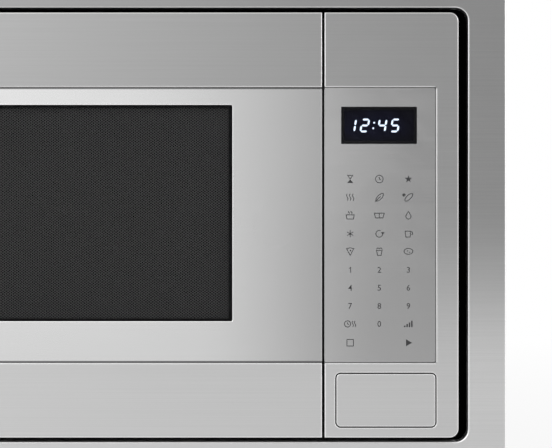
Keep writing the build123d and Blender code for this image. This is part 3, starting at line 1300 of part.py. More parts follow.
def make_release_lever():
    """Bell crank: the plunger pushes its lower arm and its nose presses the lower hook down."""
    arm_z, pad_z = about(pivot_z, LEVER_ARM_W), about(plunger_z, LEVER_PAD_H)
    hub = rod((lever_x[0], pivot_y, pivot_z), (1, 0, 0), LEVER_HUB_R, LEVER_T)
    down = block(lever_x, pad_y, (pad_z[0], pivot_z))
    pad = block((lever_x[0], plunger_x + LEVER_PAD_H / 2), pad_y, pad_z)
    nose_y = about(pivot_y - LEVER_NOSE, LEVER_NOSE_W)
    reach = block(lever_x, (nose_y[0], pivot_y), arm_z)
    nose = block((hook_x[0], lever_x[1]), nose_y, arm_z)
    lever = hub + down + pad + reach + nose
    bore = LEVER_PIN_R + RUN_CLEAR
    return lever - rod((lever_x[0] - 1.0, pivot_y, pivot_z), (1, 0, 0), bore, LEVER_T + 2.0)


def make_interlock_switches():
    """Three snap switches behind the hooks, each with a fixed plunger cap."""
    switches = []
    lower, upper = hook_heights
    places = [(mid(hook_x), lower + 2.0), (mid(hook_x), upper + 2.0),
              (mid(hook_x), upper - 22.0)]
    for x, z in places:
        body = block(about(x, SWITCH_W), switch_y, about(z, SWITCH_H))
        tip = block(about(x, 3.0), (switch_y[0] - SWITCH_TIP, switch_y[0]), about(z, 3.0))
        switches.append(body + tip)
    return switches


def make_hinge_screws():
    """Two screws through each hinge leaf into the front frame."""
    screws = []
    for root, way in ((lower_arm_z[0], 1), (upper_arm_z[1], -1)):
        for rise in LEAF_SCREWS:
            place = (hinge_x + LEAF_SCREW_X, frame_y[1] + LEAF_T, root + way * rise)
            screws.append(screw(place, (0, -1, 0), HINGE_SCREW_R, LEAF_T + FRAME_SHEET))
    return screws


def drill_hinge(shape):
    """The shape with the hinge screws' holes."""
    for root, way in ((lower_arm_z[0], 1), (upper_arm_z[1], -1)):
        for rise in LEAF_SCREWS:
            start = (hinge_x + LEAF_SCREW_X, frame_y[0] - 1.0, root + way * rise)
            shape -= rod(start, (0, 1, 0), HINGE_SCREW_R, FRAME_SHEET + LEAF_T + 2.0)
    return shape


def all_parts():
    """Every node's name and its solid, or its list of solids."""
    parts = {
        "trim_face_frame": make_trim_face_frame(),
        "trim_clips": make_trim_clips(),
        "side_brackets": [make_side_bracket(-1), make_side_bracket(1)],
        "upper_crossbar": make_upper_crossbar(),
        "support_deck": make_support_deck(),
        "support_rails": make_support_rails(),
        "feet": make_feet(),
        "base_plate": drill_rear(make_base_plate()),
        "outer_wrapper": drill_rear(make_outer_wrapper()),
        "rear_panel": drill_rear(make_rear_panel()),
        "front_frame": drill_hinge(make_front_frame()),
        "oven_cavity": make_oven_cavity(),
        "upper_hinge": drill_hinge(make_hinge_bracket(upper_arm_z, -1)),
        "lower_hinge": drill_hinge(make_hinge_bracket(lower_arm_z, 1)),
        "screws": make_hinge_screws() + make_rear_screws(),
        "cord_bushing": make_cord_bushing(),
        "waveguide": make_waveguide(),
        "waveguide_cover": make_waveguide_cover(),
        "magnetron": make_magnetron(),
        "air_duct": make_air_duct(),
        "transformer": make_transformer(),
        "capacitor": make_capacitor(),
        "capacitor_clamp": make_capacitor_clamp(),
        "high_voltage_diode": make_diode(),
        "fan_housing": make_fan_housing(),
        "fan_motor": make_fan_motor(),
        "fan_blade": make_fan_blade(),
        "turntable_motor": make_turntable_motor(),
        "drive_coupler": make_drive_coupler(),
        "glass_tray": make_glass_tray(),
        "roller_ring": make_roller_ring(),
        "lamp_holder": make_lamp_holder(),
        "oven_lamp": make_oven_lamp(),
        "filter_board": make_filter_board(),
        "cavity_sensors": make_thermal_cutouts() + [make_humidity_sensor()],
        "latch_board": make_latch_board(),
        "interlock_switches": make_interlock_switches(),
        "release_lever": make_release_lever(),
        "release_button": make_release_button(),
        "button_plate": make_button_plate(),
        "button_spring": make_button_spring(),
        "panel_fascia": make_panel_fascia(),
        "panel_carrier": make_panel_carrier(),
        "keypad_overlay": make_keypad_overlay(),
        "display_lens": make_display_lens(),
        "display_module": make_display_module(),
        "control_board": make_control_board(),
        "board_relays": make_board_relays(),
        "door_skin": make_door_skin(),
        "door_glass": make_door_glass(),
        "door_screen": make_door_screen(),
        "door_frame": make_door_frame(),
        "door_inner_pane": make_door_inner_pane(),
        "choke_cover": make_choke_cover(),
        "hinge_bushes": make_hinge_bushes(),
        "door_key": make_door_key(),
        "key_spring": make_key_spring(),
    }
    for number, roller in enumerate(make_rollers(), start=1):
        parts[f"roller_{number}"] = roller
    return parts


os.makedirs("parts", exist_ok=True)
for name, shape in all_parts().items():
    solids = shape if isinstance(shape, list) else [shape]
    found = [s for item in solids for s in item.solids()]
    export_step(Compound(children=found) if len(found) > 1 else found[0], f"parts/{name}.step")
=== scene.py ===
"""Looks of a built-in microwave oven in its trim frame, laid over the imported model."""

from __future__ import annotations

import logging
import math
from dataclasses import dataclass
from enum import Enum
from typing import Callable, Sequence

import bmesh
import bpy
from mathutils import Matrix, Vector

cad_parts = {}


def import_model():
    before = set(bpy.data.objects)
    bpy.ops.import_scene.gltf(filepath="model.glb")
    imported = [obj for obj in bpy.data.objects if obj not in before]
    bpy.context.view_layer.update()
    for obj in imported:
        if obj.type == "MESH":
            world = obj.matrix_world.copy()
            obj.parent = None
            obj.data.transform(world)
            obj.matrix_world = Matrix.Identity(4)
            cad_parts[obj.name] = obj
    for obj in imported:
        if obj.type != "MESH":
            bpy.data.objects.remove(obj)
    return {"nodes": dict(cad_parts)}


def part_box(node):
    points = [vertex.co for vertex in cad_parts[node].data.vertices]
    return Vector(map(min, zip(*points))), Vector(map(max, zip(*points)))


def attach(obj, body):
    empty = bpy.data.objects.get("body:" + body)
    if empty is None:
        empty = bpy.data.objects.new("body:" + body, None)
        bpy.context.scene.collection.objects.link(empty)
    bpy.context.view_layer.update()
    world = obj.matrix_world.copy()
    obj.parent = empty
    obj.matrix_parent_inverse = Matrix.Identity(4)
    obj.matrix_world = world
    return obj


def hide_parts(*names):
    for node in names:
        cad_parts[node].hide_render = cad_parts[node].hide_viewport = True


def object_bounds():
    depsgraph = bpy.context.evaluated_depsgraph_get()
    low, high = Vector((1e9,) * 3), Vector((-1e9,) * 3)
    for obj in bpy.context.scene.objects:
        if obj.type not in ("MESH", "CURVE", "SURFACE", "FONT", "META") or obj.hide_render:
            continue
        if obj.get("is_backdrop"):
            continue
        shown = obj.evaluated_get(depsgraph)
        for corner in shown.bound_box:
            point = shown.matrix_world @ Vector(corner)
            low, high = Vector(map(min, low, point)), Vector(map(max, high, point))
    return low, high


log = logging.getLogger("microwave")

MM = 0.001
Color = tuple[float, float, float]
Place = tuple[float, float, float]
Point = tuple[float, float]
Socket = bpy.types.NodeSocket
NUMBER, VECTOR = "NodeSocketFloat", "NodeSocketVector"

BLACK: Color = (0.0, 0.0, 0.0)
DUST: Color = (0.38, 0.36, 0.33)
FIELD_Z = (0.1063, 0.3257)
# Painted shade: where and how far a middle field darkens towards its lower right.
LOWER_RIGHT_SHADE_X, LOWER_RIGHT_SHADE = (0.09, 0.25), 0.4
NUMBER_STEPS = ("DOT_PRODUCT", "LENGTH")
CORNER_STEPS = 4


class Brushing(Enum):
    """Which way the brush lines of a metal sheet run."""

    ACROSS = (6.0, 500.0, 1500.0)
    FINE = (500.0, 500.0, 900.0)


class Stroke(Enum):
    """How a line of a keypad picture is drawn."""

    OPEN = "open"
    CLOSED = "closed"
    FILLED = "filled"


# Shader and geometry trees


class Graph:
    """A shader or geometry tree that is being written, with short calls for its nodes."""

    def __init__(self, tree: bpy.types.NodeTree) -> None:
        """Starts on the tree that gets the nodes."""
        self.tree = tree

    def node(self, kind: str, **settings: object) -> bpy.types.Node:
        """Adds one node.

        Args:
            kind: Blender's type name of the node.
            settings: Values for the node's own properties.

        Returns:
            The new node.
        """
        made = self.tree.nodes.new(kind)
        for key, value in settings.items():
            setattr(made, key, value)
        return made

    def feed(self, target: Socket, source: object) -> None:
        """Links a socket to a target, or writes a plain value on it.

        Args:
            target: The input to fill.
            source: A socket or a plain value.
        """
        if isinstance(source, bpy.types.NodeSocket):
            self.tree.links.new(source, target)
        else:
            target.default_value = source

    def step(self, kind: str, feeds: dict[object, object], output: object = 0,
             **settings: object) -> Socket:
        """Adds one node and fills its inputs.

        Args:
            kind: Blender's type name of the node.
            feeds: Sockets or values for its inputs, by name or number.
            output: Which output is wanted.
            settings: Values for the node's own properties.

        Returns:
            The output's socket.
        """
        made = self.node(kind, **settings)
        for label, value in feeds.items():
            self.feed(made.inputs[label], value)
        return made.outputs[output]

    def math(self, operation: str, a: object, b: object = 0.0, clamp: bool = False) -> Socket:
        """One step of arithmetic, whose result stays from 0 to 1 if clamp says so."""
        return self.step("ShaderNodeMath", {0: a, 1: b}, operation=operation, use_clamp=clamp)

    def add(self, a: object, b: object) -> Socket:
        """The sum of two numbers."""
        return self.math("ADD", a, b)

    def times(self, a: object, b: object) -> Socket:
        """The product of two numbers."""
        return self.math("MULTIPLY", a, b)

    def rest(self, share: object) -> Socket:
        """What a share leaves of one."""
        return self.math("SUBTRACT", 1.0, share)

    def weigh(self, a: object, share: float, b: object) -> Socket:
        """The sum of a share of one number and the rest of another."""
        return self.add(self.times(a, share), self.times(b, 1.0 - share))

    def vector(self, operation: str, a: object, b: object = None) -> Socket:
        """One step of vector arithmetic.

        Args:
            operation: Blender's name of the step.
            a: First vector.
            b: Second vector, or the factor of a scaling, if any.

        Returns:
            The result's socket, a number for a dot product or a length.
        """
        feeds = {0: a}
        if b is not None:
            feeds["Scale" if operation == "SCALE" else 1] = b
        output = "Value" if operation in NUMBER_STEPS else "Vector"
        return self.step("ShaderNodeVectorMath", feeds, output, operation=operation)

    def parts(self, vector: Socket) -> Sequence[Socket]:
        """The sockets of a vector's X, Y and Z."""
        return self.step("ShaderNodeSeparateXYZ", {0: vector}).node.outputs[:3]

    def whole(self, **parts: object) -> Socket:
        """A vector made of the parts X, Y and Z, of which those left out are zero."""
        return self.step("ShaderNodeCombineXYZ", parts)

    def span(self, value: object, low: float, high: float, start: object = 0.0,
             end: object = 1.0, smooth: bool = True) -> Socket:
        """A number carried from one range to another, held at its ends.

        Args:
            value: The number.
            low: Lowest value of the first range.
            high: Highest value of the first range.
            start: What the lowest value becomes.
            end: What the highest value becomes.
            smooth: Whether the change eases in and out.

        Returns:
            The result's socket.
        """
        style = "SMOOTHSTEP" if smooth else "LINEAR"
        feeds = dict(enumerate((value, low, high, start, end)))
        return self.step("ShaderNodeMapRange", feeds, interpolation_type=style)

    def blend(self, share: object, a: object, b: object) -> Socket:
        """Two colours mixed; a share from 0 to 1 says how much of the second there is."""
        a, b = (c if isinstance(c, bpy.types.NodeSocket) else (*c, 1.0) for c in (a, b))
        return self.step("ShaderNodeMix", {0: share, 6: a, 7: b}, 2, data_type="RGBA")

    def noise(self, vector: object, scale: float, detail: float = 2.0,
              rough: float = 0.5) -> Socket:
        """Soft random values from 0 to 1: spots per metre, finer layers and their strength."""
        return self.step("ShaderNodeTexNoise", {"Vector": vector, "Scale": scale,
                                                "Detail": detail, "Roughness": rough})

    def cells(self, vector: object, scale: float) -> Socket:
        """Cells of random colours, so many to the metre."""
        return self.step("ShaderNodeTexVoronoi", {"Vector": vector, "Scale": scale}, "Color")

    def relief(self, height: Socket, depth: float) -> Socket:
        """The normal of a height from 0 to 1 that goes so deep, in metres."""
        return self.step("ShaderNodeBump", {"Distance": depth, "Height": height})

    def group(self, write: Callable[..., dict[str, Socket]],
              **values: object) -> bpy.types.NodeOutputs:
        """Places a node group, whose tree is written the first time it is asked for.

        Args:
            write: Writes the tree from its graph and inputs, and gives its outputs.
            values: Values for all its inputs; a plain number makes a number's input.

        Returns:
            The group's outputs.
        """
        tree = bpy.data.node_groups.get(write.__name__)
        if not tree:
            tree = bpy.data.node_groups.new(write.__name__, "ShaderNodeTree")
            graph = Graph(tree)
            for name, value in values.items():
                kind = NUMBER if isinstance(value, float) else VECTOR
                tree.interface.new_socket(name, in_out="INPUT", socket_type=kind)
            given = graph.node("NodeGroupInput").outputs
            results = write(graph, **{name: given[name] for name in values})
            for name in results:
                tree.interface.new_socket(name, in_out="OUTPUT", socket_type=NUMBER)
            sink = graph.node("NodeGroupOutput")
            for name, socket in results.items():
                graph.feed(sink.inputs[name], socket)
        made = self.node("ShaderNodeGroup", node_tree=tree)
        for name, value in values.items():
            self.feed(made.inputs[name], value)
        return made.outputs


class Surface(Graph):
    """A material's tree, with its shader's inputs and the object coordinates."""

    def __init__(self, material: bpy.types.Material) -> None:
        """Starts on a material.

        Args:
            material: The material, as it is when new.
        """
        super().__init__(material.node_tree)
        self.skin = self.tree.nodes["Principled BSDF"].inputs
        self.place = self.node("ShaderNodeTexCoord").outputs["Object"]

    def fill(self, **values: object) -> None:
        """Fills the shader's inputs.

        Args:
            values: A socket or value for each, with an underscore for a blank in its name.
        """
        for name, value in values.items():
            self.feed(self.skin[name.replace("_", " ")], value)

    def base(self) -> Socket:
        """The socket that feeds the base colour so far."""
        return self.skin["Base Color"].links[0].from_socket

    def facing(self) -> Sequence[Socket]:
        """The three parts of the object's own normal."""
        return self.parts(self.node("ShaderNodeTexCoord").outputs["Normal"])

    def lines(self, brushing: Brushing) -> bpy.types.NodeOutputs:
        """The brush lines' tone and height."""
        return self.group(brushed_grain, place=self.place, streaks=brushing.value)

    def marks(self) -> Socket:
        """Faint wiped smears."""
        return self.group(handling_marks, place=self.place)[0]

    def dust(self, amount: float) -> Socket:
        """The mask of settled dust."""
        return self.group(settled_dust, place=self.place, amount=amount)[0]

    def wear(self, radius: float, amount: float, evenness: float) -> Socket:
        """The mask of rubbed edges, also used to place painted edge highlights."""
        return self.group(edge_wear_and_highlight, place=self.place, radius=radius, amount=amount,
                          evenness=evenness)[0]

    def grain(self, scale: float) -> Socket:
        """The height of spark-eroded plastic."""
        return self.group(moulded_grain, place=self.place, scale=scale)[0]

    def fade(self) -> Socket:
        """Share of the colour that a face's middle field loses to painted shade towards its
        lower right.
        """
        x, _, z = self.parts(self.place)
        return self.times(self.span(x, *LOWER_RIGHT_SHADE_X, 0.0, LOWER_RIGHT_SHADE), self.span(z, *FIELD_Z[::-1]))


def brushed_grain(g: Graph, place: Socket, streaks: Socket) -> dict[str, Socket]:
    """Group for brush lines: long soft streaks with finer scratches between them.

    Args:
        g: The group's graph.
        place: Where the lines are read.
        streaks: How many there are to the metre, each way.

    Returns:
        Their tone and height.
    """
    drawn = g.vector("MULTIPLY", place, streaks)
    fine = g.noise(drawn, 1.0, 3.0, 0.65)
    long = g.noise(g.vector("MULTIPLY", drawn, (0.2, 1.0, 0.6)), 1.0, 1.0)
    tone = g.span(g.weigh(fine, 0.6, long), 0.32, 0.68, smooth=False)
    return {"Tone": tone, "Height": fine}


def edge_wear_and_highlight(g: Graph, place: Socket, radius: Socket, amount: Socket,
              evenness: Socket) -> dict[str, Socket]:
    """Group for rubbed edges and painted edge highlights: where the normal of a rounded copy
    leaves the surface's own.

    Args:
        g: The group's graph.
        place: Where the noise that breaks it up is read.
        radius: Radius of the rounded copy.
        amount: How strong it is.
        evenness: The least that the noise leaves of it.

    Returns:
        The mask.
    """
    rounded_off = g.step("ShaderNodeBevel", {"Radius": radius}, samples=4)
    own = g.node("ShaderNodeNewGeometry").outputs["Normal"]
    apart = g.rest(g.vector("DOT_PRODUCT", rounded_off, own))
    patchy = g.span(g.noise(place, 90.0, 4.0, 0.6), 0.35, 0.65)
    worn = g.times(g.span(apart, 0.02, 0.22), g.math("MAXIMUM", patchy, evenness))
    return {"Mask": g.math("MULTIPLY", worn, amount, clamp=True)}


def settled_dust(g: Graph, place: Socket, amount: Socket) -> dict[str, Socket]:
    """Group for dust: a mask that lies on faces that look up, in soft patches.

    Args:
        g: The group's graph.
        place: Where its two sizes of noise are read.
        amount: How strong it is.

    Returns:
        The mask.
    """
    upward = g.span(g.parts(g.node("ShaderNodeNewGeometry").outputs["Normal"])[2], 0.3, 0.95)
    patches, specks = g.noise(place, 14.0, 4.0, 0.6), g.noise(place, 700.0, 1.0)
    spread = g.times(g.span(patches, 0.3, 0.7), g.span(specks, 0.3, 0.8))
    return {"Mask": g.math("MULTIPLY", g.times(upward, spread), amount, clamp=True)}


def handling_marks(g: Graph, place: Socket) -> dict[str, Socket]:
    """Group for faint smears: noise bent by a slower noise, in slanting soft arcs.

    Args:
        g: The group's graph.
        place: Where they are read.

    Returns:
        A value round one half.
    """
    bent = g.vector("SCALE", place, g.add(g.noise(place, 6.0, 1.0), 0.6))
    smears = g.noise(g.vector("MULTIPLY", bent, (14.0, 14.0, 38.0)), 1.0, 4.0, 0.6)
    return {"Value": g.span(smears, 0.3, 0.7)}


def moulded_grain(g: Graph, place: Socket, scale: Socket) -> dict[str, Socket]:
    """Group for spark-eroded plastic: rounded cells with a finer noise on them.

    Args:
        g: The group's graph.
        place: Where the cells are read.
        scale: How many there are to the metre.

    Returns:
        Their height.
    """
    cells = g.step("ShaderNodeTexVoronoi", {"Vector": place, "Scale": scale}, "Distance",
                   feature="SMOOTH_F1")
    finer = g.noise(g.vector("SCALE", place, scale), 1.7, 2.0)
    return {"Height": g.times(g.add(cells, finer), 0.6)}


# Finishes


def grey(level: float) -> Color:
    """A neutral colour."""
    return (level, level, level)


def toned(color: Color, factor: float, lift: float = 0.0) -> Color:
    """A colour times a factor, with a little added, none of it over one."""
    return tuple(min(1.0, factor * c + lift) for c in color)


@dataclass(frozen=True)
class Finish:
    """What every finish has: a name, a colour and a roughness."""

    name: str
    color: Color
    roughness: float = 0.5

    def build(self) -> bpy.types.Material:
        """Makes the material, once.

        Returns:
            The material.
        """
        label = f"{self.name}_finish"
        made = bpy.data.materials.get(label)
        if made:
            return made
        made = bpy.data.materials.new(label)
        made.use_nodes = True
        surface = Surface(made)
        surface.fill(Roughness=self.roughness, Base_Color=(*self.color, 1.0))
        self.dress(surface)
        return made

    def dress(self, g: Surface) -> None:
        """Fills the shader's inputs; each finish has its own way."""

    def shaded(self, g: Surface, share: Socket, spread: float) -> Socket:
        """The finish's colour, darker and lighter by a share of itself."""
        return g.blend(share, toned(self.color, 1 - spread), toned(self.color, 1 + spread))


@dataclass(frozen=True)
class BrushedSteel(Finish):
    """Brushed stainless steel."""

    brushing: Brushing = Brushing.ACROSS
    tone: float = 0.03
    spread: float = 0.05
    depth: float = 0.0012 * MM

    def dress(self, g: Surface) -> None:
        """Brush lines in colour, gloss and relief, with faint handling marks.

        Args:
            g: The material's graph.
        """
        lines = g.lines(self.brushing)
        gloss = g.span(lines["Tone"], 0.0, 1.0, self.roughness - self.spread,
                       self.roughness + self.spread, smooth=False)
        g.fill(Metallic=1.0, Base_Color=self.shaded(g, lines["Tone"], self.tone),
               Roughness=g.add(gloss, g.times(g.marks(), 0.02)),
               Normal=g.relief(lines["Height"], self.depth))


@dataclass(frozen=True)
class KeypadFilm(BrushedSteel):
    """Printed film in the steel's tone, darkened towards its lower right by painted shade."""

    def dress(self, g: Surface) -> None:
        """The brushed look, then the painted shade over it."""
        super().dress(g)
        g.fill(Base_Color=g.blend(g.fade(), g.base(), BLACK))


@dataclass(frozen=True)
class GradedSteel(BrushedSteel):
    """Brushed steel with painted light: a painted reflection makes it paler towards its foot,
    painted highlights lighten its edges, and painted shade lines its middle field's step and
    darkens that field towards its lower right; the middle field is smoother.
    """

    foot_reflection_color: Color = grey(0.6)
    low_roughness: float = 0.4
    low_z: float = 0.08
    high_z: float = 0.24
    field_x: float = 0.0
    field_color: Color = grey(0.62)
    field_roughness: float = 0.18
    edge_highlight_color: Color = grey(0.93)
    crease_shade_color: Color = grey(0.13)
    crease: float = 1.2 * MM
    rim: float = 2.2 * MM
    rim_highlight: float = 0.5
    upward_edge_highlight: float = 0.35

    def dress(self, g: Surface) -> None:
        """Graded brush lines outside the middle field, faint ones in it.

        Args:
            g: The material's graph.
        """
        lines = g.lines(self.brushing)
        x, _, z = g.parts(g.place)
        height = g.span(z, self.low_z, self.high_z)
        past_side = g.math("SUBTRACT", g.math("ABSOLUTE", x), self.field_x)
        past_end = g.math("ABSOLUTE", g.math("SUBTRACT", z, sum(FIELD_Z) / 2))
        past_end = g.math("SUBTRACT", past_end, (FIELD_Z[1] - FIELD_Z[0]) / 2)
        past = g.math("MAXIMUM", past_side, past_end)
        within = g.math("LESS_THAN", past, 0.0)
        # painted reflection: below low_z the colour is the paler foot colour, as the floor's
        # reflection would make it, grading up to the sheet's own colour above high_z
        base = g.blend(within, g.blend(height, self.foot_reflection_color, self.color), self.field_color)
        # painted shade: the middle field darkens towards its lower right
        base = g.blend(g.times(within, g.fade()), base, BLACK)
        # painted highlight: faces turned away from the front, the rounded edges, take a pale
        # colour, less where they look up, standing for light caught on them
        _, front, up = g.facing()
        front = g.math("ABSOLUTE", front)
        edge_highlight = g.times(g.span(front, 0.99, 0.9), g.span(front, 0.0, 0.1))
        edge_highlight = g.times(edge_highlight, g.span(up, 0.1, 0.6, 1.0, self.upward_edge_highlight))
        base = g.blend(edge_highlight, base, self.edge_highlight_color)
        # painted shade: a dark line just inside the middle field's step, where the step's wall
        # lies in shade
        if self.field_x:
            inside = g.math("ABSOLUTE", g.add(past, self.crease / 2))
            base = g.blend(g.span(inside, self.crease, self.crease / 3), base,
                           self.crease_shade_color)
        streak = g.times(g.math("SUBTRACT", lines["Tone"], 0.5),
                         g.span(within, 0.0, 1.0, self.tone, 0.3 * self.tone))
        # painted highlight: the rounded-edge mask lightens the steel along its edges; the
        # streaks are the brush lines' own tone
        shade = g.times(g.add(1.0, streak), g.add(1.0, g.wear(self.rim, self.rim_highlight, 1.0)))
        gloss = g.span(height, 0.0, 1.0, self.low_roughness, self.roughness)
        gloss = g.span(within, 0.0, 1.0, gloss, self.field_roughness)
        gloss = g.add(gloss, g.times(streak, -0.4))
        g.fill(Metallic=1.0, Base_Color=g.vector("SCALE", base, shade),
               Roughness=g.add(gloss, g.times(g.marks(), 0.012)),
               Normal=g.relief(lines["Height"], self.depth))


@dataclass(frozen=True)
class ZincPlate(Finish):
    """Zinc-coated sheet with a faint crystal pattern, and where asked a near-black front strip
    of painted shade.
    """

    crystals: float = 150.0
    # Painted shade: how deep the near-black front strip reaches, and its colour.
    shade_painted_to: float = 0.0
    paint: Color = grey(0.004)

    def dress(self, g: Surface) -> None:
        """Crystals that differ a little in tone and gloss, with dust on top.

        Args:
            g: The material's graph.
        """
        bend = g.vector("MULTIPLY", g.cells(g.place, 260.0), grey(4.0 * MM))
        tint = g.parts(g.cells(g.vector("ADD", g.place, bend), self.crystals))[0]
        cloud = g.noise(g.place, 45.0, 3.0)
        share = g.weigh(tint, 0.75, cloud)
        dusty = g.dust(0.25)
        color = g.blend(dusty, self.shaded(g, share, 0.1), (0.42, 0.4, 0.37))
        bare = g.rest(dusty)
        # painted shade: the front strip is near-black and not metallic, standing for the shade
        # in the gap behind the trim
        if self.shade_painted_to:
            past = g.math("GREATER_THAN", g.parts(g.place)[1], self.shade_painted_to)
            color, bare = g.blend(past, self.paint, color), g.times(bare, past)
        gloss = g.span(share, 0.0, 1.0, self.roughness + 0.1, self.roughness - 0.08)
        g.fill(Base_Color=color, Roughness=gloss, Metallic=bare,
               Normal=g.relief(cloud, 0.02 * MM))


@dataclass(frozen=True)
class CoatedSheet(Finish):
    """Painted or powder-coated sheet, rubbed through a little at its edges."""

    peel: float = 900.0
    peel_depth: float = 0.015 * MM
    wear: float = 0.35
    dust: float = 0.2
    speckle: float = 0.0
    shine: float = 0.5

    def dress(self, g: Surface) -> None:
        """Orange peel, speckle, edge wear and dust.

        Args:
            g: The material's graph.
        """
        cloud = g.noise(g.place, 9.0, 3.0)
        dots = g.times(g.span(g.noise(g.place, 1500.0, 1.0), 0.62, 0.7), self.speckle)
        base = g.blend(dots, self.shaded(g, cloud, 0.05), toned(self.color, 0.55))
        base = g.blend(g.wear(0.6 * MM, self.wear, 0.0), base, toned(self.color, 0.5, 0.28))
        dusty = g.dust(self.dust)
        gloss = g.span(cloud, 0.3, 0.7, self.roughness - 0.04, self.roughness + 0.05)
        g.fill(Specular_IOR_Level=self.shine, Base_Color=g.blend(dusty, base, DUST),
               Roughness=g.add(gloss, g.times(dusty, 0.3)),
               Normal=g.relief(g.noise(g.place, self.peel, 2.0), self.peel_depth))


@dataclass(frozen=True)
class ScreenSheet(CoatedSheet):
    """Perforated sheet, bright towards the room and coated dark towards the food."""

    back_color: Color = grey(0.1)

    def dress(self, g: Surface) -> None:
        """The coated sheet's look, with the darker colour on what faces backwards.

        Args:
            g: The material's graph.
        """
        super().dress(g)
        backward = g.math("GREATER_THAN", g.facing()[1], 0.5)
        g.fill(Base_Color=g.blend(backward, g.base(), self.back_color))


@dataclass(frozen=True)
class MouldedPlastic(Finish):
    """Moulded plastic with a fine spark-eroded surface."""

    dust: float = 0.15

    def dress(self, g: Surface) -> None:
        """Pebbled relief, slow tone changes and dust.

        Args:
            g: The material's graph.
        """
        pebbles = g.grain(1600.0)
        flow = g.noise(g.vector("MULTIPLY", g.place, (1.0, 1.0, 2.5)), 18.0, 3.0)
        tone = g.weigh(flow, 0.7, pebbles)
        gloss = g.span(tone, 0.2, 0.8, self.roughness - 0.06, self.roughness + 0.06)
        g.fill(Base_Color=g.blend(g.dust(self.dust), self.shaded(g, tone, 0.1), DUST),
               Roughness=gloss, Normal=g.relief(pebbles, 0.02 * MM))


@dataclass(frozen=True)
class PolishedGlass(Finish):
    """Clear or tinted glass; its see-through share is a plain number."""

    transmission: float = 1.0
    alpha: float = 1.0
    shine: float = 0.5

    def dress(self, g: Surface) -> None:
        """Faint wiped smears in the gloss and a hardly visible roll of the surface.

        Args:
            g: The material's graph.
        """
        smears = g.marks()
        gloss = g.span(smears, 0.45, 0.9, self.roughness, self.roughness + 0.04)
        g.fill(Transmission_Weight=self.transmission, IOR=1.5, Specular_IOR_Level=self.shine,
               Alpha=self.alpha, Base_Color=self.shaded(g, smears, 0.03), Roughness=gloss,
               Normal=g.relief(g.noise(g.place, 8.0, 1.0), 0.01 * MM))


@dataclass(frozen=True)
class SoftRubber(Finish):
    """Moulded rubber with a dull bloom."""

    def dress(self, g: Surface) -> None:
        """A pale bloom in patches over a fine grain.

        Args:
            g: The material's graph.
        """
        bloom = g.span(g.noise(g.place, 60.0, 4.0), 0.45, 0.8)
        g.fill(Base_Color=g.blend(bloom, self.color, toned(self.color, 1.0, 0.06)),
               Roughness=g.span(bloom, 0.0, 1.0, self.roughness, 0.95),
               Normal=g.relief(g.grain(2200.0), 0.02 * MM))


@dataclass(frozen=True)
class BareMetal(Finish):
    """Rolled, stamped or cast metal with no coating."""

    dust: float = 0.15
    tarnish: Color = (0.3, 0.28, 0.25)

    def dress(self, g: Surface) -> None:
        """Rolling marks, tarnish in patches and dust.

        Args:
            g: The material's graph.
        """
        lines = g.lines(Brushing.FINE)
        dull = g.span(g.noise(g.place, 55.0, 4.0, 0.6), 0.55, 0.85)
        dusty = g.dust(self.dust)
        metal = g.blend(g.times(dull, 0.5), self.shaded(g, lines["Tone"], 0.08), self.tarnish)
        g.fill(Base_Color=g.blend(dusty, metal, (0.4, 0.38, 0.35)), Metallic=g.rest(dusty),
               Roughness=g.span(dull, 0.0, 1.0, self.roughness, self.roughness + 0.25),
               Normal=g.relief(lines["Height"], 0.004 * MM))


@dataclass(frozen=True)
class MicaSheet(Finish):
    """Pressed mica: pearly flakes in a brown binder."""

    def dress(self, g: Surface) -> None:
        """Flakes of two sizes that differ in tone and gloss.

        Args:
            g: The material's graph.
        """
        large = g.parts(g.cells(g.place, 500.0))[0]
        flakes = g.weigh(large, 0.6, g.parts(g.cells(g.place, 1400.0))[1])
        g.fill(Base_Color=self.shaded(g, flakes, 0.22),
               Roughness=g.span(flakes, 0.0, 1.0, 0.3, 0.6),
               Normal=g.relief(large, 0.03 * MM))


@dataclass(frozen=True)
class CircuitBoard(Finish):
    """Lacquered circuit board with copper runs and solder spots."""

    def dress(self, g: Surface) -> None:
        """Runs are the borders of square cells; solder sits on a regular grid.

        Args:
            g: The material's graph.
        """
        squares = g.step("ShaderNodeTexVoronoi", {"Vector": g.place, "Scale": 190.0,
                                                  "Randomness": 0.8}, "Distance",
                         distance="CHEBYCHEV")
        dots = g.step("ShaderNodeTexVoronoi", {"Vector": g.place, "Scale": 220.0,
                                               "Randomness": 0.25}, "Distance")
        runs = g.span(g.math("PINGPONG", squares, 0.11), 0.035, 0.06)
        solder = g.span(dots, 0.2, 0.16)
        lacquer = g.blend(runs, self.color, toned(self.color, 1.9, 0.015))
        g.fill(Base_Color=g.blend(solder, lacquer, (0.62, 0.61, 0.58)),
               Metallic=g.times(solder, 0.9),
               Roughness=g.span(solder, 0.0, 1.0, self.roughness, 0.35),
               Normal=g.relief(g.add(runs, solder), 0.04 * MM))


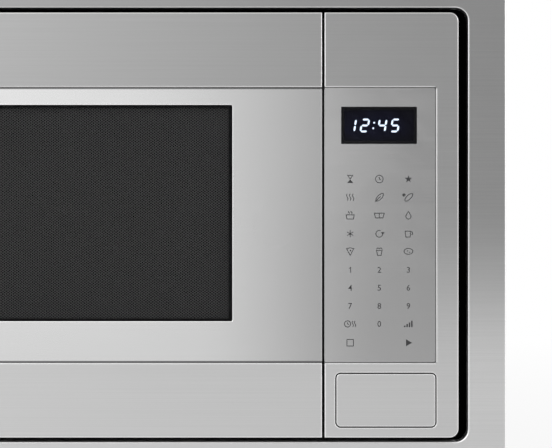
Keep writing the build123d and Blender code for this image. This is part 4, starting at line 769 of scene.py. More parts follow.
@dataclass(frozen=True)
class IronAndPaper(Finish):
    """Varnished laminated core, with paper-wrapped windings in a range of Y and Z."""

    low: Point = (0.0, 0.0)
    high: Point = (0.0, 0.0)
    paper: Color = (0.42, 0.3, 0.17)

    def dress(self, g: Surface) -> None:
        """Thin lines between the laminations, and paper inside the range.

        Args:
            g: The material's graph.
        """
        x, y, z = g.parts(g.place)
        sheets = g.math("FRACT", g.times(x, 1800.0))
        line = g.span(g.math("PINGPONG", sheets, 0.5), 0.0, 0.16)
        varnish = g.span(g.noise(g.place, 50.0, 4.0), 0.4, 0.7)
        iron = g.blend(varnish, self.color, toned(self.color, 0.6))
        iron = g.blend(line, (0.02, 0.018, 0.016), iron)
        within: object = 1.0
        for value, low, high in zip((y, z), self.low, self.high):
            within = g.times(within, g.math("GREATER_THAN", value, low))
            within = g.times(within, g.math("LESS_THAN", value, high))
        weave = g.noise(g.vector("MULTIPLY", g.place, (300.0, 1500.0, 300.0)), 1.0, 3.0)
        wrap = g.blend(weave, self.paper, toned(self.paper, 0.7))
        g.fill(Base_Color=g.blend(within, iron, wrap), Metallic=g.times(g.rest(within), 0.8),
               Roughness=g.span(within, 0.0, 1.0, self.roughness, 0.75),
               Normal=g.relief(g.add(g.times(line, 0.5), weave), 0.05 * MM))


@dataclass(frozen=True)
class PrintedInk(Finish):
    """Screen-printed ink."""

    def dress(self, g: Surface) -> None:
        """Slight unevenness of the ink's cover.

        Args:
            g: The material's graph.
        """
        cover = g.noise(g.place, 2500.0, 2.0)
        gloss = g.span(cover, 0.3, 0.7, self.roughness - 0.05, self.roughness + 0.05)
        g.fill(Base_Color=self.shaded(g, cover, 0.2), Roughness=gloss)


@dataclass(frozen=True)
class GlowingSegment(Finish):
    """Lit segment of the clock display."""

    glow: Color = (0.72, 0.84, 1.0)

    def dress(self, g: Surface) -> None:
        """A phosphor that is a little uneven."""
        glow = g.blend(g.noise(g.place, 900.0, 1.0), self.glow, toned(self.glow, 0.85))
        g.fill(Emission_Color=glow, Emission_Strength=5.0)


@dataclass(frozen=True)
class DarkDisplay(Finish):
    """Face of the display behind its lens: a fine grid, with a painted blue glow round the
    digits that stands for their spilt light.
    """

    middle: Place = (0.0, 0.0, 0.0)
    reach: Place = (0.03, 1.0, 0.012)
    halo: Color = (0.012, 0.014, 0.05)

    def dress(self, g: Surface) -> None:
        """The painted glow fades with the distance from the digits' middle.

        Args:
            g: The material's graph.
        """
        away = g.vector("DIVIDE", g.vector("SUBTRACT", g.place, self.middle), self.reach)
        near = g.span(g.vector("LENGTH", away), 1.6, 0.3)
        grid = g.noise(g.vector("MULTIPLY", g.place, grey(3000.0)), 1.0, 1.0)
        # painted glow: a blue emission on the face near the digits
        g.fill(Base_Color=self.shaded(g, grid, 0.2), Emission_Strength=1.0,
               Emission_Color=g.blend(near, BLACK, self.halo))


@dataclass(frozen=True)
class StudioPaint(Finish):
    """Matt pale paint of the floor, white to camera and metal but still shaded."""

    lift: float = 0.8
    near: float = 1.0
    far: float = 3.5

    def dress(self, g: Surface) -> None:
        """A very slight unevenness, under an even white that lamps don't add to.

        The white is full far from the oven, where the floor meets the backdrop.

        Args:
            g: The material's graph.
        """
        g.fill(Base_Color=self.shaded(g, g.noise(g.place, 3.0, 3.0), 0.01))
        rays = g.node("ShaderNodeLightPath").outputs
        seen = g.math("ADD", rays["Is Camera Ray"], rays["Is Glossy Ray"], clamp=True)
        seen = g.math("ADD", seen, rays["Is Transmission Ray"], clamp=True)
        lift = g.span(g.vector("LENGTH", g.place), self.near, self.far, self.lift, 1.0)
        output = g.tree.nodes["Material Output"].inputs[0]
        paint = output.links[0].from_socket
        white = g.node("ShaderNodeEmission").outputs[0]
        g.feed(output, g.step("ShaderNodeMixShader", {0: g.times(seen, lift), 1: paint,
                                                      2: white}))


# Painted reflection: the foot colours of these steels make their lower part paler; their edges
# get painted highlights.
FRONT_STEEL = GradedSteel("face_steel", grey(0.385), 0.31, tone=0.08, foot_reflection_color=grey(0.555),
                          low_roughness=0.36, field_x=0.2853)
TRIM_STEEL = GradedSteel("trim_steel", grey(0.32), 0.34, tone=0.1, foot_reflection_color=grey(0.58))
OVERLAY = KeypadFilm("keypad_film", grey(0.665), 0.18, tone=0.01, spread=0.01)
SMOKED_GLASS = PolishedGlass("smoked_glass", (0.003, 0.003, 0.004), 0.05, transmission=0.0,
                             alpha=0.4, shine=0.06)
CLEAR_GLASS = PolishedGlass("clear_pane", (0.03, 0.035, 0.033), 0.02, transmission=0.0,
                            alpha=0.1)
TRAY_GLASS = PolishedGlass("tray_glass", (0.88, 0.95, 0.93), 0.03)
BULB_GLASS = PolishedGlass("bulb_glass", (0.97, 0.97, 0.94), 0.01)
LENS = PolishedGlass("display_lens", (0.006, 0.006, 0.008), 0.06, transmission=0.0, alpha=0.7,
                     shine=0.2)
BORDER_INK = PrintedInk("window_border_ink", grey(0.006), 0.4)
SCREEN_COAT = ScreenSheet("screen_coat", grey(0.46), 0.55, wear=0.0, dust=0.0,
                          peel_depth=0.004 * MM)
KEYPAD_INK = PrintedInk("keypad_ink", (0.02, 0.02, 0.022), 0.5)
CLOCK_GLOW = GlowingSegment("clock_glow", (0.02, 0.02, 0.03), 0.5)
BODY_PAINT = CoatedSheet("body_paint", (0.3, 0.3, 0.31), 0.5)
CARRIER_PAINT = CoatedSheet("carrier_paint", grey(0.004), 0.6, wear=0.1, dust=0.05, shine=0.0)
ENAMEL = CoatedSheet("cavity_enamel", (0.16, 0.16, 0.155), 0.3, peel=300.0,
                     peel_depth=0.01 * MM, wear=0.0, dust=0.0, speckle=0.15)
BLACK_ENAMEL = CoatedSheet("black_enamel", (0.012, 0.012, 0.013), 0.38, wear=0.1, dust=0.0)
ZINC = ZincPlate("zinc_plate", (0.55, 0.56, 0.57), 0.42)
# Painted shade: this zinc is near-black and not metallic over its front 60 mm.
SHADE_PAINTED_ZINC = ZincPlate("zinc_with_painted_shade", (0.55, 0.56, 0.57), 0.42, shade_painted_to=0.06)
BLACK_PLASTIC = MouldedPlastic("black_plastic", (0.024, 0.024, 0.026), 0.5)
WHITE_PLASTIC = MouldedPlastic("white_acetal", (0.72, 0.72, 0.7), 0.42, dust=0.05)
PART_PLASTIC = MouldedPlastic("component_plastic", (0.03, 0.05, 0.12), 0.4)
AMBER_PLASTIC = MouldedPlastic("component_resin", (0.35, 0.16, 0.05), 0.35)
RUBBER = SoftRubber("black_rubber", grey(0.03), 0.75)
MICA = MicaSheet("mica_sheet", (0.55, 0.47, 0.36), 0.4)
BOARD = CircuitBoard("circuit_board", (0.02, 0.13, 0.05), 0.35)
ALUMINIUM = BareMetal("aluminium", (0.76, 0.76, 0.77), 0.32)
PLATED_STEEL = BareMetal("plated_steel", grey(0.6), 0.28, dust=0.05)
SPRING_STEEL = BareMetal("spring_steel", grey(0.5), 0.22, dust=0.0)
COPPER = BareMetal("enamelled_copper", (0.62, 0.24, 0.1), 0.3, tarnish=(0.35, 0.13, 0.06))
STUDIO_PAINT = StudioPaint("studio_paint", grey(0.8), 0.7)


# Pieces


def linked(name: str, data: bpy.types.ID) -> bpy.types.Object:
    """A new object in the scene.

    Args:
        name: Its name.
        data: Its mesh, curve, lamp or camera.

    Returns:
        The object.
    """
    made = bpy.data.objects.new(name, data)
    bpy.context.scene.collection.objects.link(made)
    return made


def evaluated(holder: bpy.types.Object) -> bpy.types.Mesh:
    """The plain mesh that an object comes to.

    Args:
        holder: The object, with its modifiers.

    Returns:
        The mesh.
    """
    bpy.context.view_layer.update()
    graph = bpy.context.evaluated_depsgraph_get()
    return bpy.data.meshes.new_from_object(holder.evaluated_get(graph))


class Piece:
    """Puts finished meshes on the model's bodies and finishes on its nodes."""

    nodes: dict[str, bpy.types.Object] = {}

    @classmethod
    def dress(cls, finish: Finish, *names: str) -> None:
        """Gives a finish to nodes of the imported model.

        Args:
            finish: The finish.
            names: The nodes.
        """
        for name in names:
            data = cls.nodes[name].data
            if not data.materials:
                data.materials.append(None)
            for index in range(len(data.materials)):
                data.materials[index] = finish.build()
            log.info("node %s: %s", name, finish.name)

    @staticmethod
    def add(name: str, mesh: bpy.types.Mesh, finish: Finish, body: str, slot: str,
            replaces: Sequence[str] = ()) -> None:
        """Adds a finished piece to the scene.

        Args:
            name: The piece's name.
            mesh: Its mesh, already in place.
            finish: Its finish.
            body: The body that it moves with.
            slot: The record's material slot; not used.
            replaces: The nodes that it stands for.
        """
        mesh.name = name
        mesh.materials.clear()
        mesh.materials.append(finish.build())
        made = linked(name, mesh)
        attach(made, body)
        if replaces:
            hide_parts(*replaces)
        log.info("piece %s: %d faces, %s", name, len(mesh.polygons), finish.name)


def written(shape: bmesh.types.BMesh) -> bpy.types.Mesh:
    """Turns a bmesh into a mesh as it is.

    Args:
        shape: The bmesh, which is freed.

    Returns:
        The mesh.
    """
    mesh = bpy.data.meshes.new("mesh")
    shape.to_mesh(mesh)
    shape.free()
    return mesh


def to_mesh(shape: bmesh.types.BMesh) -> bpy.types.Mesh:
    """Turns a bmesh into a mesh with outward faces.

    Args:
        shape: The bmesh, which is freed.

    Returns:
        The mesh.
    """
    bmesh.ops.remove_doubles(shape, verts=shape.verts, dist=1e-7)
    bmesh.ops.recalc_face_normals(shape, faces=shape.faces)
    return written(shape)


def joined(meshes: Sequence[bpy.types.Mesh]) -> bpy.types.Mesh:
    """Several meshes as one.

    Args:
        meshes: The meshes.

    Returns:
        The joined mesh.
    """
    shape = bmesh.new()
    for mesh in meshes:
        shape.from_mesh(mesh)
    return written(shape)


def block(middle: Place, size: Place, edge: float, segments: int = 2) -> bmesh.types.BMesh:
    """A block with rounded edges.

    Args:
        middle: Its middle.
        size: Its sizes.
        edge: How far its edges are rounded.
        segments: Parts of each rounding.

    Returns:
        The block.
    """
    shape = bmesh.new()
    bmesh.ops.create_cube(shape, size=1.0, matrix=Matrix.Translation(middle)
                          @ Matrix.Diagonal((*size, 1.0)))
    bmesh.ops.bevel(shape, geom=list(shape.edges), offset=edge, segments=segments,
                    affect="EDGES")
    return shape


def prism(shape: bmesh.types.BMesh, outline: Sequence[Point], depth: Point) -> None:
    """Adds a flat plate with an outline in X and Z.

    Args:
        shape: The bmesh that gets it.
        outline: Its corners, in order.
        depth: Its front and back in Y.
    """
    front, back = ([shape.verts.new((x, y, z)) for x, z in outline] for y in depth)
    shape.faces.new(front)
    shape.faces.new(back[::-1])
    for i in range(len(outline)):
        shape.faces.new((front[i], front[i - 1], back[i - 1], back[i]))


def ring_plate(shape: bmesh.types.BMesh, outer: Sequence[Point], inner: Sequence[Point],
               depth: Point) -> None:
    """Adds a flat plate with one opening; both outlines have as many corners.

    Args:
        shape: The bmesh that gets it.
        outer: The outer corners, in order.
        inner: The opening's corners, in the same order.
        depth: Its front and back in Y.
    """
    loops = [[shape.verts.new((x, y, z)) for x, z in line]
             for line, y in ((outer, depth[0]), (inner, depth[0]), (inner, depth[1]),
                             (outer, depth[1]))]
    for start, end in zip(loops, loops[1:] + loops[:1]):
        for i in range(len(outer)):
            shape.faces.new((start[i - 1], start[i], end[i], end[i - 1]))


def rounded(low: Point, high: Point, radius: float) -> list[Point]:
    """Corners of a rectangle with rounded corners.

    Args:
        low: Lower left corner.
        high: Upper right corner.
        radius: The corners' radius.

    Returns:
        The points, anticlockwise.
    """
    (left, bottom), (right, top) = (c + radius for c in low), (c - radius for c in high)
    points = []
    for quarter, (x, z) in enumerate(((right, top), (left, top), (left, bottom),
                                      (right, bottom))):
        points += arc(x, z, radius, 90.0 * quarter, 90.0 * (quarter + 1), CORNER_STEPS)
    return points


def frame_plate(outer: Sequence[Point], outer_r: float, inner: Sequence[Point], inner_r: float,
                depth: Point) -> bpy.types.Mesh:
    """A flat frame with rounded corners.

    Args:
        outer: Its lower left and upper right corners.
        outer_r: Their radius.
        inner: The opening's two corners.
        inner_r: Their radius.
        depth: Its front and back in Y.

    Returns:
        The mesh.
    """
    shape = bmesh.new()
    ring_plate(shape, rounded(*outer, outer_r), rounded(*inner, inner_r), depth)
    return to_mesh(shape)


def face_box(name: str, inset: float = 0.0) -> tuple[Point, Point]:
    """A node's lower left and upper right corners, seen from the front."""
    low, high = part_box(name)
    return (low.x + inset, low.z + inset), (high.x - inset, high.z - inset)


def arc(x: float, z: float, radius: float, start: float = 0.0, end: float = 360.0,
        steps: int = 12) -> list[Point]:
    """Points on an arc.

    Args:
        x: Its centre.
        z: Its centre.
        radius: Its radius.
        start: Its first angle in degrees.
        end: Its last angle.
        steps: How many parts it has.

    Returns:
        The points; a full circle's last one is left off.
    """
    count = steps if end - start >= 360.0 else steps + 1
    angles = [math.radians(start + (end - start) * i / steps) for i in range(count)]
    return [(x + radius * math.cos(a), z + radius * math.sin(a)) for a in angles]


def ribbon(shape: bmesh.types.BMesh, points: Sequence[Point], closed: bool, half: float,
           depth: Point) -> None:
    """Adds a flat line of constant width along points in X and Z.

    Args:
        shape: The bmesh that gets it.
        points: The line's points.
        closed: Whether its end meets its start.
        half: Half its width.
        depth: Its front and back in Y.
    """
    count, narrowest = len(points), 0.35
    sides: tuple[list[Point], list[Point]] = ([], [])
    for i, (x, z) in enumerate(points):
        before = points[i - 1] if i or closed else points[i]
        after = points[(i + 1) % count] if i + 1 < count or closed else points[i]
        into = Vector((x - before[0], z - before[1]))
        away = Vector((after[0] - x, after[1] - z))
        into = into.normalized() if into.length else away.normalized()
        away = away.normalized() if away.length else into
        across = Vector((-(into + away).y, (into + away).x)).normalized()
        reach = half / max(narrowest, across.dot(Vector((-into.y, into.x))))
        sides[0].append((x + across.x * reach, z + across.y * reach))
        sides[1].append((x - across.x * reach, z - across.y * reach))
    if closed:
        ring_plate(shape, sides[0], sides[1], depth)
    else:
        prism(shape, sides[0] + sides[1][::-1], depth)


class Repeater(Graph):
    """A Geometry Nodes tree with named inputs, used once to make one plain mesh."""

    def __init__(self, name: str, sizes: dict[str, object]) -> None:
        """Starts the tree.

        Args:
            name: The tree's name.
            sizes: Each input's name and value: a number, a whole number or a vector.
        """
        super().__init__(bpy.data.node_groups.new(name, "GeometryNodeTree"))
        self.sizes = sizes
        kinds = {float: NUMBER, int: "NodeSocketInt", tuple: VECTOR}
        sockets = {"Geometry": "NodeSocketGeometry",
                   **{label: kinds[type(value)] for label, value in sizes.items()},
                   "Finish": "NodeSocketMaterial"}
        face = self.tree.interface
        self.keys = {label: face.new_socket(label, in_out="INPUT", socket_type=kind).identifier
                     for label, kind in sockets.items()}
        face.new_socket("Geometry", in_out="OUTPUT", socket_type="NodeSocketGeometry")
        self.given = self.node("NodeGroupInput").outputs
        self.sink = self.node("NodeGroupOutput").inputs[0]

    def row(self) -> Socket:
        """Points in a row, by the inputs Count, Start and Pitch."""
        step = self.vector("SCALE", self.given["Pitch"], self.step("GeometryNodeInputIndex", {}))
        return self.points(step)

    def points(self, offset: Socket) -> Socket:
        """As many points as the input Count says, at an offset from Start each."""
        place = self.vector("ADD", self.given["Start"], offset)
        return self.step("GeometryNodePoints", {"Count": self.given["Count"],
                                                "Position": place})

    def grid(self, shift: float = 0.0) -> Socket:
        """Points in rows, by the inputs Columns, Count, Start, Pitch X and Pitch Z.

        Args:
            shift: How many pitches every second row is set over.

        Returns:
            The points' socket.
        """
        index = self.step("GeometryNodeInputIndex", {})
        column = self.math("MODULO", index, self.given["Columns"])
        row = self.math("FLOOR", self.math("DIVIDE", index, self.given["Columns"]))
        column = self.add(column, self.times(self.math("MODULO", row, 2.0), shift))
        return self.points(self.whole(X=self.times(column, self.given["Pitch X"]),
                                      Z=self.times(row, self.given["Pitch Z"])))

    def thicken(self, flat: Socket, thickness: Socket, merge: float) -> Socket:
        """A flat mesh as a sheet along Y.

        Args:
            flat: The mesh.
            thickness: The sheet's thickness.
            merge: Distance within which corners are joined.

        Returns:
            The sheet's socket.
        """
        walls = self.step("GeometryNodeExtrudeMesh",
                          {"Mesh": flat, "Offset": self.whole(Y=thickness),
                           "Individual": False}, "Mesh")
        join = self.node("GeometryNodeJoinGeometry")
        self.feed(join.inputs[0], walls)
        self.feed(join.inputs[0], self.step("GeometryNodeFlipFaces", {"Mesh": flat}))
        return self.step("GeometryNodeMergeByDistance", {"Geometry": join.outputs[0],
                                                         "Distance": merge})

    def mesh(self, points: Socket, shape: Socket, finish: Finish, base: bpy.types.Mesh,
             turn: object = (0.0, 0.0, 0.0), merge: float = 0.0) -> bpy.types.Mesh:
        """Puts a shape on every point and makes one mesh of them all.

        Args:
            points: The points.
            shape: The shape that is repeated.
            finish: The finish that the tree sets.
            base: The mesh that the tree starts from.
            turn: A rotation for each copy.
            merge: Distance within which flat copies are joined to a sheet, if they are.

        Returns:
            The plain mesh.
        """
        made = self.step("GeometryNodeInstanceOnPoints", {"Points": points, "Instance": shape,
                                                          "Rotation": turn})
        made = self.step("GeometryNodeRealizeInstances", {"Geometry": made})
        if merge:
            made = self.step("GeometryNodeMergeByDistance", {"Geometry": made,
                                                            "Distance": merge})
            made = self.thicken(made, self.given["Thickness"], merge)
        made = self.step("GeometryNodeSetMaterial", {"Geometry": made,
                                                     "Material": self.given["Finish"]})
        self.feed(self.sink, made)
        holder = linked("holder", base)
        modifier = holder.modifiers.new("repeat", "NODES")
        modifier.node_group = self.tree
        for label, value in {**self.sizes, "Finish": finish.build()}.items():
            modifier[self.keys[label]] = value
        holder.update_tag()
        plain = evaluated(holder)
        holder.modifiers.remove(modifier)
        bpy.data.objects.remove(holder)
        return plain


def dome(radius: float, height: float, way: Vector) -> bpy.types.Mesh:
    """A low dome, such as a spot weld, closed at its foot.

    Args:
        radius: Its radius.
        height: Its height.
        way: Where it looks.

    Returns:
        The mesh.
    """
    shape = bmesh.new()
    sides, levels = 10, ((1.0, 0.0), (0.78, 0.62), (0.4, 0.92))
    loops = [[shape.verts.new((x, y, height * h))
              for x, y in arc(0.0, 0.0, radius * r, steps=sides)] for r, h in levels]
    top = shape.verts.new((0.0, 0.0, height))
    for i in range(sides):
        for low, high in zip(loops, loops[1:]):
            shape.faces.new((low[i - 1], low[i], high[i], high[i - 1]))
        shape.faces.new((loops[-1][i - 1], loops[-1][i], top))
    shape.faces.new(loops[0][::-1])
    bmesh.ops.transform(shape, matrix=way.to_track_quat("Z", "Y").to_matrix().to_4x4(),
                        verts=shape.verts)
    return to_mesh(shape)


def spot_welds(start: Place, pitch: Place, count: int, way: Vector,
               finish: Finish) -> bpy.types.Mesh:
    """A row of spot welds.

    Args:
        start: The first weld's place.
        pitch: The step from one to the next.
        count: How many there are.
        way: Where they look.
        finish: Their finish.

    Returns:
        One mesh with all of them.
    """
    maker = Repeater("spot welds", {"Count": count, "Start": start, "Pitch": pitch})
    weld = dome(2.4 * MM, 0.3 * MM, way)
    return maker.mesh(maker.row(), maker.given["Geometry"], finish, weld)


# Sub-assemblies


class SubAssembly:
    """Some nodes with their finishes, and the pieces that are added to them."""

    FINISHES: tuple[tuple[Finish, str], ...] = ()

    def build(self) -> None:
        """Dresses the nodes, then adds the pieces.

        Each entry of FINISHES is a finish with the names of its nodes.
        """
        for finish, names in self.FINISHES:
            Piece.dress(finish, *names.split())
        self.add()

    def add(self) -> None:
        """Adds the pieces, where a sub-assembly has some."""


@dataclass
class TrimAndCarrier(SubAssembly):
    """Trim frame with its clips, and the carrier in the cabinet's cutout."""

    FINISHES = ((TRIM_STEEL, "trim_face_frame"), (SPRING_STEEL, "trim_clips"),
                (CARRIER_PAINT, "side_brackets upper_crossbar"), (SHADE_PAINTED_ZINC, "support_deck"),
                (ZINC, "support_rails"))

    weld_pitch: float = 60.0 * MM
    rail_inset: float = 15.0 * MM
    deck_gauge: float = 1.5 * MM
    seal_length: float = 600.0 * MM
    seal_gap: float = 1.0 * MM
    seal_edge: float = 0.2 * MM
    seal_air: float = 0.02 * MM
    roof_seal: Point = (12.1 * MM, 13.4 * MM)
    deck_seal: Point = (14.6 * MM, 15.9 * MM)

    def add(self) -> None:
        """Adds the welds of the deck, then the foam strips."""
        self.weld_deck()
        self.seal()

    def weld_deck(self) -> None:
        """Spot welds that join the deck to the three middle rails under it."""
        low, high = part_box("support_deck")
        rails_low, rails_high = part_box("support_rails")
        count = int((high.y - low.y) / self.weld_pitch) - 1
        pitch_x = (rails_high.x - rails_low.x - 2 * self.rail_inset) / 4
        rows = [spot_welds((rails_low.x + self.rail_inset + pitch_x * i,
                            low.y + self.weld_pitch, rails_high.z + self.deck_gauge),
                           (0.0, self.weld_pitch, 0.0), count, Vector((0.0, 0.0, 1.0)), ZINC)
                for i in (1, 2, 3)]
        Piece.add("deck_spot_welds", joined(rows), ZINC, "housing", "zinc_sheet")

    def seal(self) -> None:
        """Foam strips that close the gaps over the wrapper's roof and over the deck."""
        strips = []
        for name, depth in (("outer_wrapper", self.roof_seal), ("support_deck", self.deck_seal)):
            size = (self.seal_length, depth[1] - depth[0], self.seal_gap - 2 * self.seal_air)
            middle = (0.0, sum(depth) / 2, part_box(name)[1].z + self.seal_gap / 2)
            strips.append(to_mesh(block(middle, size, self.seal_edge)))
        Piece.add("foam_strips", joined(strips), RUBBER, "housing", "rubber")


@dataclass
class Door(SubAssembly):
    """The door: skin, window, perforated screen, frame and key."""

    FINISHES = ((FRONT_STEEL, "door_skin"), (SMOKED_GLASS, "door_glass"),
                (BLACK_ENAMEL, "door_frame"), (CLEAR_GLASS, "door_inner_pane"),
                (BLACK_PLASTIC, "choke_cover door_key"), (WHITE_PLASTIC, "hinge_bushes"),
                (SPRING_STEEL, "key_spring"))

    margin_x: float = 2.4 * MM
    margin_z: float = 2.0 * MM
    pitch_x: float = 2.8 * MM
    pitch_z: float = 1.05 * MM
    hole_r: float = 0.78 * MM
    window_side: float = 71.4 * MM
    window_z: Point = (139.4 * MM, 311.6 * MM)
    pane_r: float = 1.5 * MM
    mesh_r: float = 0.5 * MM
    proud: float = 0.03 * MM
    print_depth: Point = (0.01 * MM, 0.06 * MM)
    merge: float = 0.05 * MM
    parts: int = 4

    def add(self) -> None:
        """Adds the screen, then the printed border."""
        self.screen()
        self.border()

    def mesh_area(self) -> tuple[Point, Point]:
        """The corners of the area that has holes, a margin inside the window's opening.

        Returns:
            Its lower left and upper right corners.
        """
        low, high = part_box("door_skin")
        side = self.window_side + self.margin_x
        return ((low.x + side, self.window_z[0] + self.margin_z),
                (high.x - side, self.window_z[1] - self.margin_z))

    def tile(self) -> bpy.types.Mesh:
        """One hole of the lattice: a ring of six flat faces that fit to their neighbours.

        Returns:
            The ring, which looks along Y.
        """
        half, slant = self.pitch_x / 2, self.pitch_z
        rim = (half * half + slant * slant) / 2
        point, corner = rim / half, (rim - slant * slant) / half
        outer = [(point, 0.0), (corner, slant), (-corner, slant), (-point, 0.0),
                 (-corner, -slant), (corner, -slant)]
        shape = bmesh.new()
        outer, hole = ([shape.verts.new((x, 0.0, z)) for x, z in line]
                       for line in (outer, arc(0.0, 0.0, self.hole_r, steps=6)))
        for i in range(6):
            shape.faces.new((outer[i], outer[i - 1], hole[i - 1], hole[i]))
        return written(shape)

    def screen(self) -> None:
        """The perforated sheet, in parts, with its plain margin."""
        (left, bottom), (right, top) = area = self.mesh_area()
        low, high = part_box("door_screen")
        rows = round((top - bottom) / self.pitch_z)
        columns = round((right - left) / self.pitch_x)
        pitch_x = (right - left) / (columns + 0.5)
        pitch_z = (top - bottom) / rows
        share = math.ceil(columns / self.parts)
        for part in range(self.parts):
            count = min(share, columns - part * share)
            start = (left + pitch_x * (part * share + 0.5), low.y, bottom + pitch_z / 2)
            maker = Repeater("perforated sheet", {
                "Columns": count, "Count": count * rows, "Pitch X": pitch_x,
                "Pitch Z": pitch_z, "Start": start, "Thickness": high.y - low.y})
            mesh = maker.mesh(maker.grid(0.5), maker.given["Geometry"], SCREEN_COAT,
                              self.tile(), merge=self.merge)
            Piece.add(f"screen_part_{part + 1}", mesh, SCREEN_COAT, "door", "screen",
                      ("door_screen",) if part == 0 else ())
        margin = frame_plate(face_box("door_screen"), self.pane_r, area, self.mesh_r,
                             (low.y - self.proud, high.y + self.proud))
        Piece.add("screen_margin", margin, SCREEN_COAT, "door", "screen")

    def border(self) -> None:
        """Black border printed on the back of the window's glass."""
        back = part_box("door_glass")[1].y
        mesh = frame_plate(face_box("door_glass"), self.pane_r, self.mesh_area(), self.mesh_r,
                           [back + depth for depth in self.print_depth])
        Piece.add("window_border", mesh, BORDER_INK, "door", "window_glass")


OPEN, CLOSED, FILLED = Stroke
KEY_COLUMNS = (217.0, 240.2, 263.4)
KEY_ROWS = (252.6, 238.1, 223.6, 209.0, 195.0, 180.3, 166.0, 151.5, 137.2, 122.2)

HANDS = (OPEN, ((0.0, 1.3), (0.0, 0.0), (1.0, -0.5)))
LEAF_EDGE = (CLOSED, [(0.2 + 2.2 * x - 0.9 * z, 2.2 * x + 0.9 * z)
                      for x, z in arc(0.0, 0.0, 1.0, steps=16)])


def wave(x: float, low: float, high: float) -> tuple[Stroke, list[Point]]:
    """A rising wave of steam.

    Args:
        x: Its middle.
        low: Its lower end.
        high: Its upper end.

    Returns:
        The stroke.
    """
    count = 8
    return (OPEN, [(x + 0.4 * math.sin(2 * math.pi * i / count),
                    low + (high - low) * i / count) for i in range(count + 1)])


class Picture(Enum):
    """Plain pictures for the keypad; sizes are millimetres round the key's middle."""

    TIMER = ((CLOSED, ((-1.6, 2.3), (1.6, 2.3), (0.0, 0.1))),
             (FILLED, ((-1.9, -2.4), (1.9, -2.4), (0.0, -0.1))))
    ONE = ((FILLED, ((0.05, -2.3), (0.7, -2.3), (0.7, 2.3), (0.25, 2.3), (-0.2, 1.7),
                     (-0.95, 1.25), (-0.95, 0.75), (0.05, 1.2))),)
    CLOCK = ((CLOSED, arc(0.0, 0.0, 2.3, steps=20)), HANDS)
    STAR = ((FILLED, [(r * math.sin(math.pi * i / 5), r * math.cos(math.pi * i / 5))
                      for i, r in enumerate((2.5, 1.0) * 5)]),)
    STEAM = (wave(-1.8, -2.0, 2.2), wave(0.0, -2.0, 2.2), wave(1.8, -2.0, 2.2))
    LEAF = (LEAF_EDGE, (OPEN, ((-2.6, -2.8), (0.8, 0.6))))
    FROST_LEAF = (LEAF_EDGE, (OPEN, ((-2.8, 0.2), (-2.8, 2.6))),
                  (OPEN, ((-3.8, 0.8), (-1.8, 2.0))), (OPEN, ((-3.8, 2.0), (-1.8, 0.8))))
    POT = ((CLOSED, ((-2.4, 0.4), (2.4, 0.4), (2.0, -2.2), (-2.0, -2.2))),
           wave(-0.8, 1.1, 2.6), wave(0.8, 1.1, 2.6))
    TRAY = ((CLOSED, ((-3.0, 1.4), (3.0, 1.4), (2.3, -1.5), (-2.3, -1.5))),
            (OPEN, ((0.0, 1.4), (0.0, -1.5))))
    DROP = ((CLOSED, [(0.0, 2.5)] + arc(0.0, -0.6, 1.6, 150, 390, 10)),)
    FLAKE = ((OPEN, arc(0.0, 0.0, 2.2, 210, 390, 1)), (OPEN, arc(0.0, 0.0, 2.2, 270, 450, 1)),
             (OPEN, arc(0.0, 0.0, 2.2, 330, 510, 1)))
    AGAIN = ((OPEN, arc(0.0, 0.0, 2.1, 70, 370, 14)),
             (FILLED, ((1.0, 1.0), (3.2, 1.0), (2.1, -0.8))))
    CUP = ((CLOSED, ((-2.0, 1.6), (1.4, 1.6), (1.0, -2.0), (-1.6, -2.0))),
           (OPEN, arc(1.5, 0.3, 1.1, -70, 80, 6)))
    SLICE = ((CLOSED, ((-2.2, 1.7), (0.0, 2.2), (2.2, 1.7), (0.0, -2.5))),
             (FILLED, arc(0.2, 0.5, 0.5, steps=8)))
    POPCORN = ((CLOSED, ((-1.7, 0.6), (1.7, 0.6), (1.1, -2.4), (-1.1, -2.4))),
               (OPEN, arc(-0.8, 1.3, 0.8, 10, 190, 6)), (OPEN, arc(0.9, 1.3, 0.8, -10, 170, 6)))
    POTATO = ((CLOSED, [(2.7 * x, 1.8 * z) for x, z in arc(0.0, 0.0, 1.0, steps=18)]),
              (OPEN, ((-0.9, 0.4), (-0.2, 0.2))), (OPEN, ((0.4, -0.6), (1.1, -0.5))))
    COOK_TIME = ((CLOSED, arc(-1.6, 0.0, 1.9, steps=16)),
                 (OPEN, ((-1.6, 1.0), (-1.6, 0.0), (-0.8, -0.4))), wave(1.6, -1.8, 1.8),
                 wave(3.0, -1.8, 1.8))
    POWER = [(FILLED, ((x, -2.0), (x + 0.9, -2.0), (x + 0.9, top), (x, top)))
             for x, top in ((-2.7, -1.0), (-1.25, -0.1), (0.2, 0.9), (1.65, 2.0))]
    STOP = ((CLOSED, ((-2.0, 2.0), (2.0, 2.0), (2.0, -2.0), (-2.0, -2.0))),)
    START = ((FILLED, ((-1.5, 2.1), (2.3, 0.0), (-1.5, -2.1))),)


KEYS: tuple[tuple[object, object, object], ...] = (
    (Picture.TIMER, Picture.CLOCK, Picture.STAR),
    (Picture.STEAM, Picture.LEAF, Picture.FROST_LEAF),
    (Picture.POT, Picture.TRAY, Picture.DROP),
    (Picture.FLAKE, Picture.AGAIN, Picture.CUP),
    (Picture.SLICE, Picture.POPCORN, Picture.POTATO),
    (Picture.ONE, "2", "3"),
    ("4", "5", "6"),
    ("7", "8", "9"),
    (Picture.COOK_TIME, "0", Picture.POWER),
    (Picture.STOP, None, Picture.START),
)


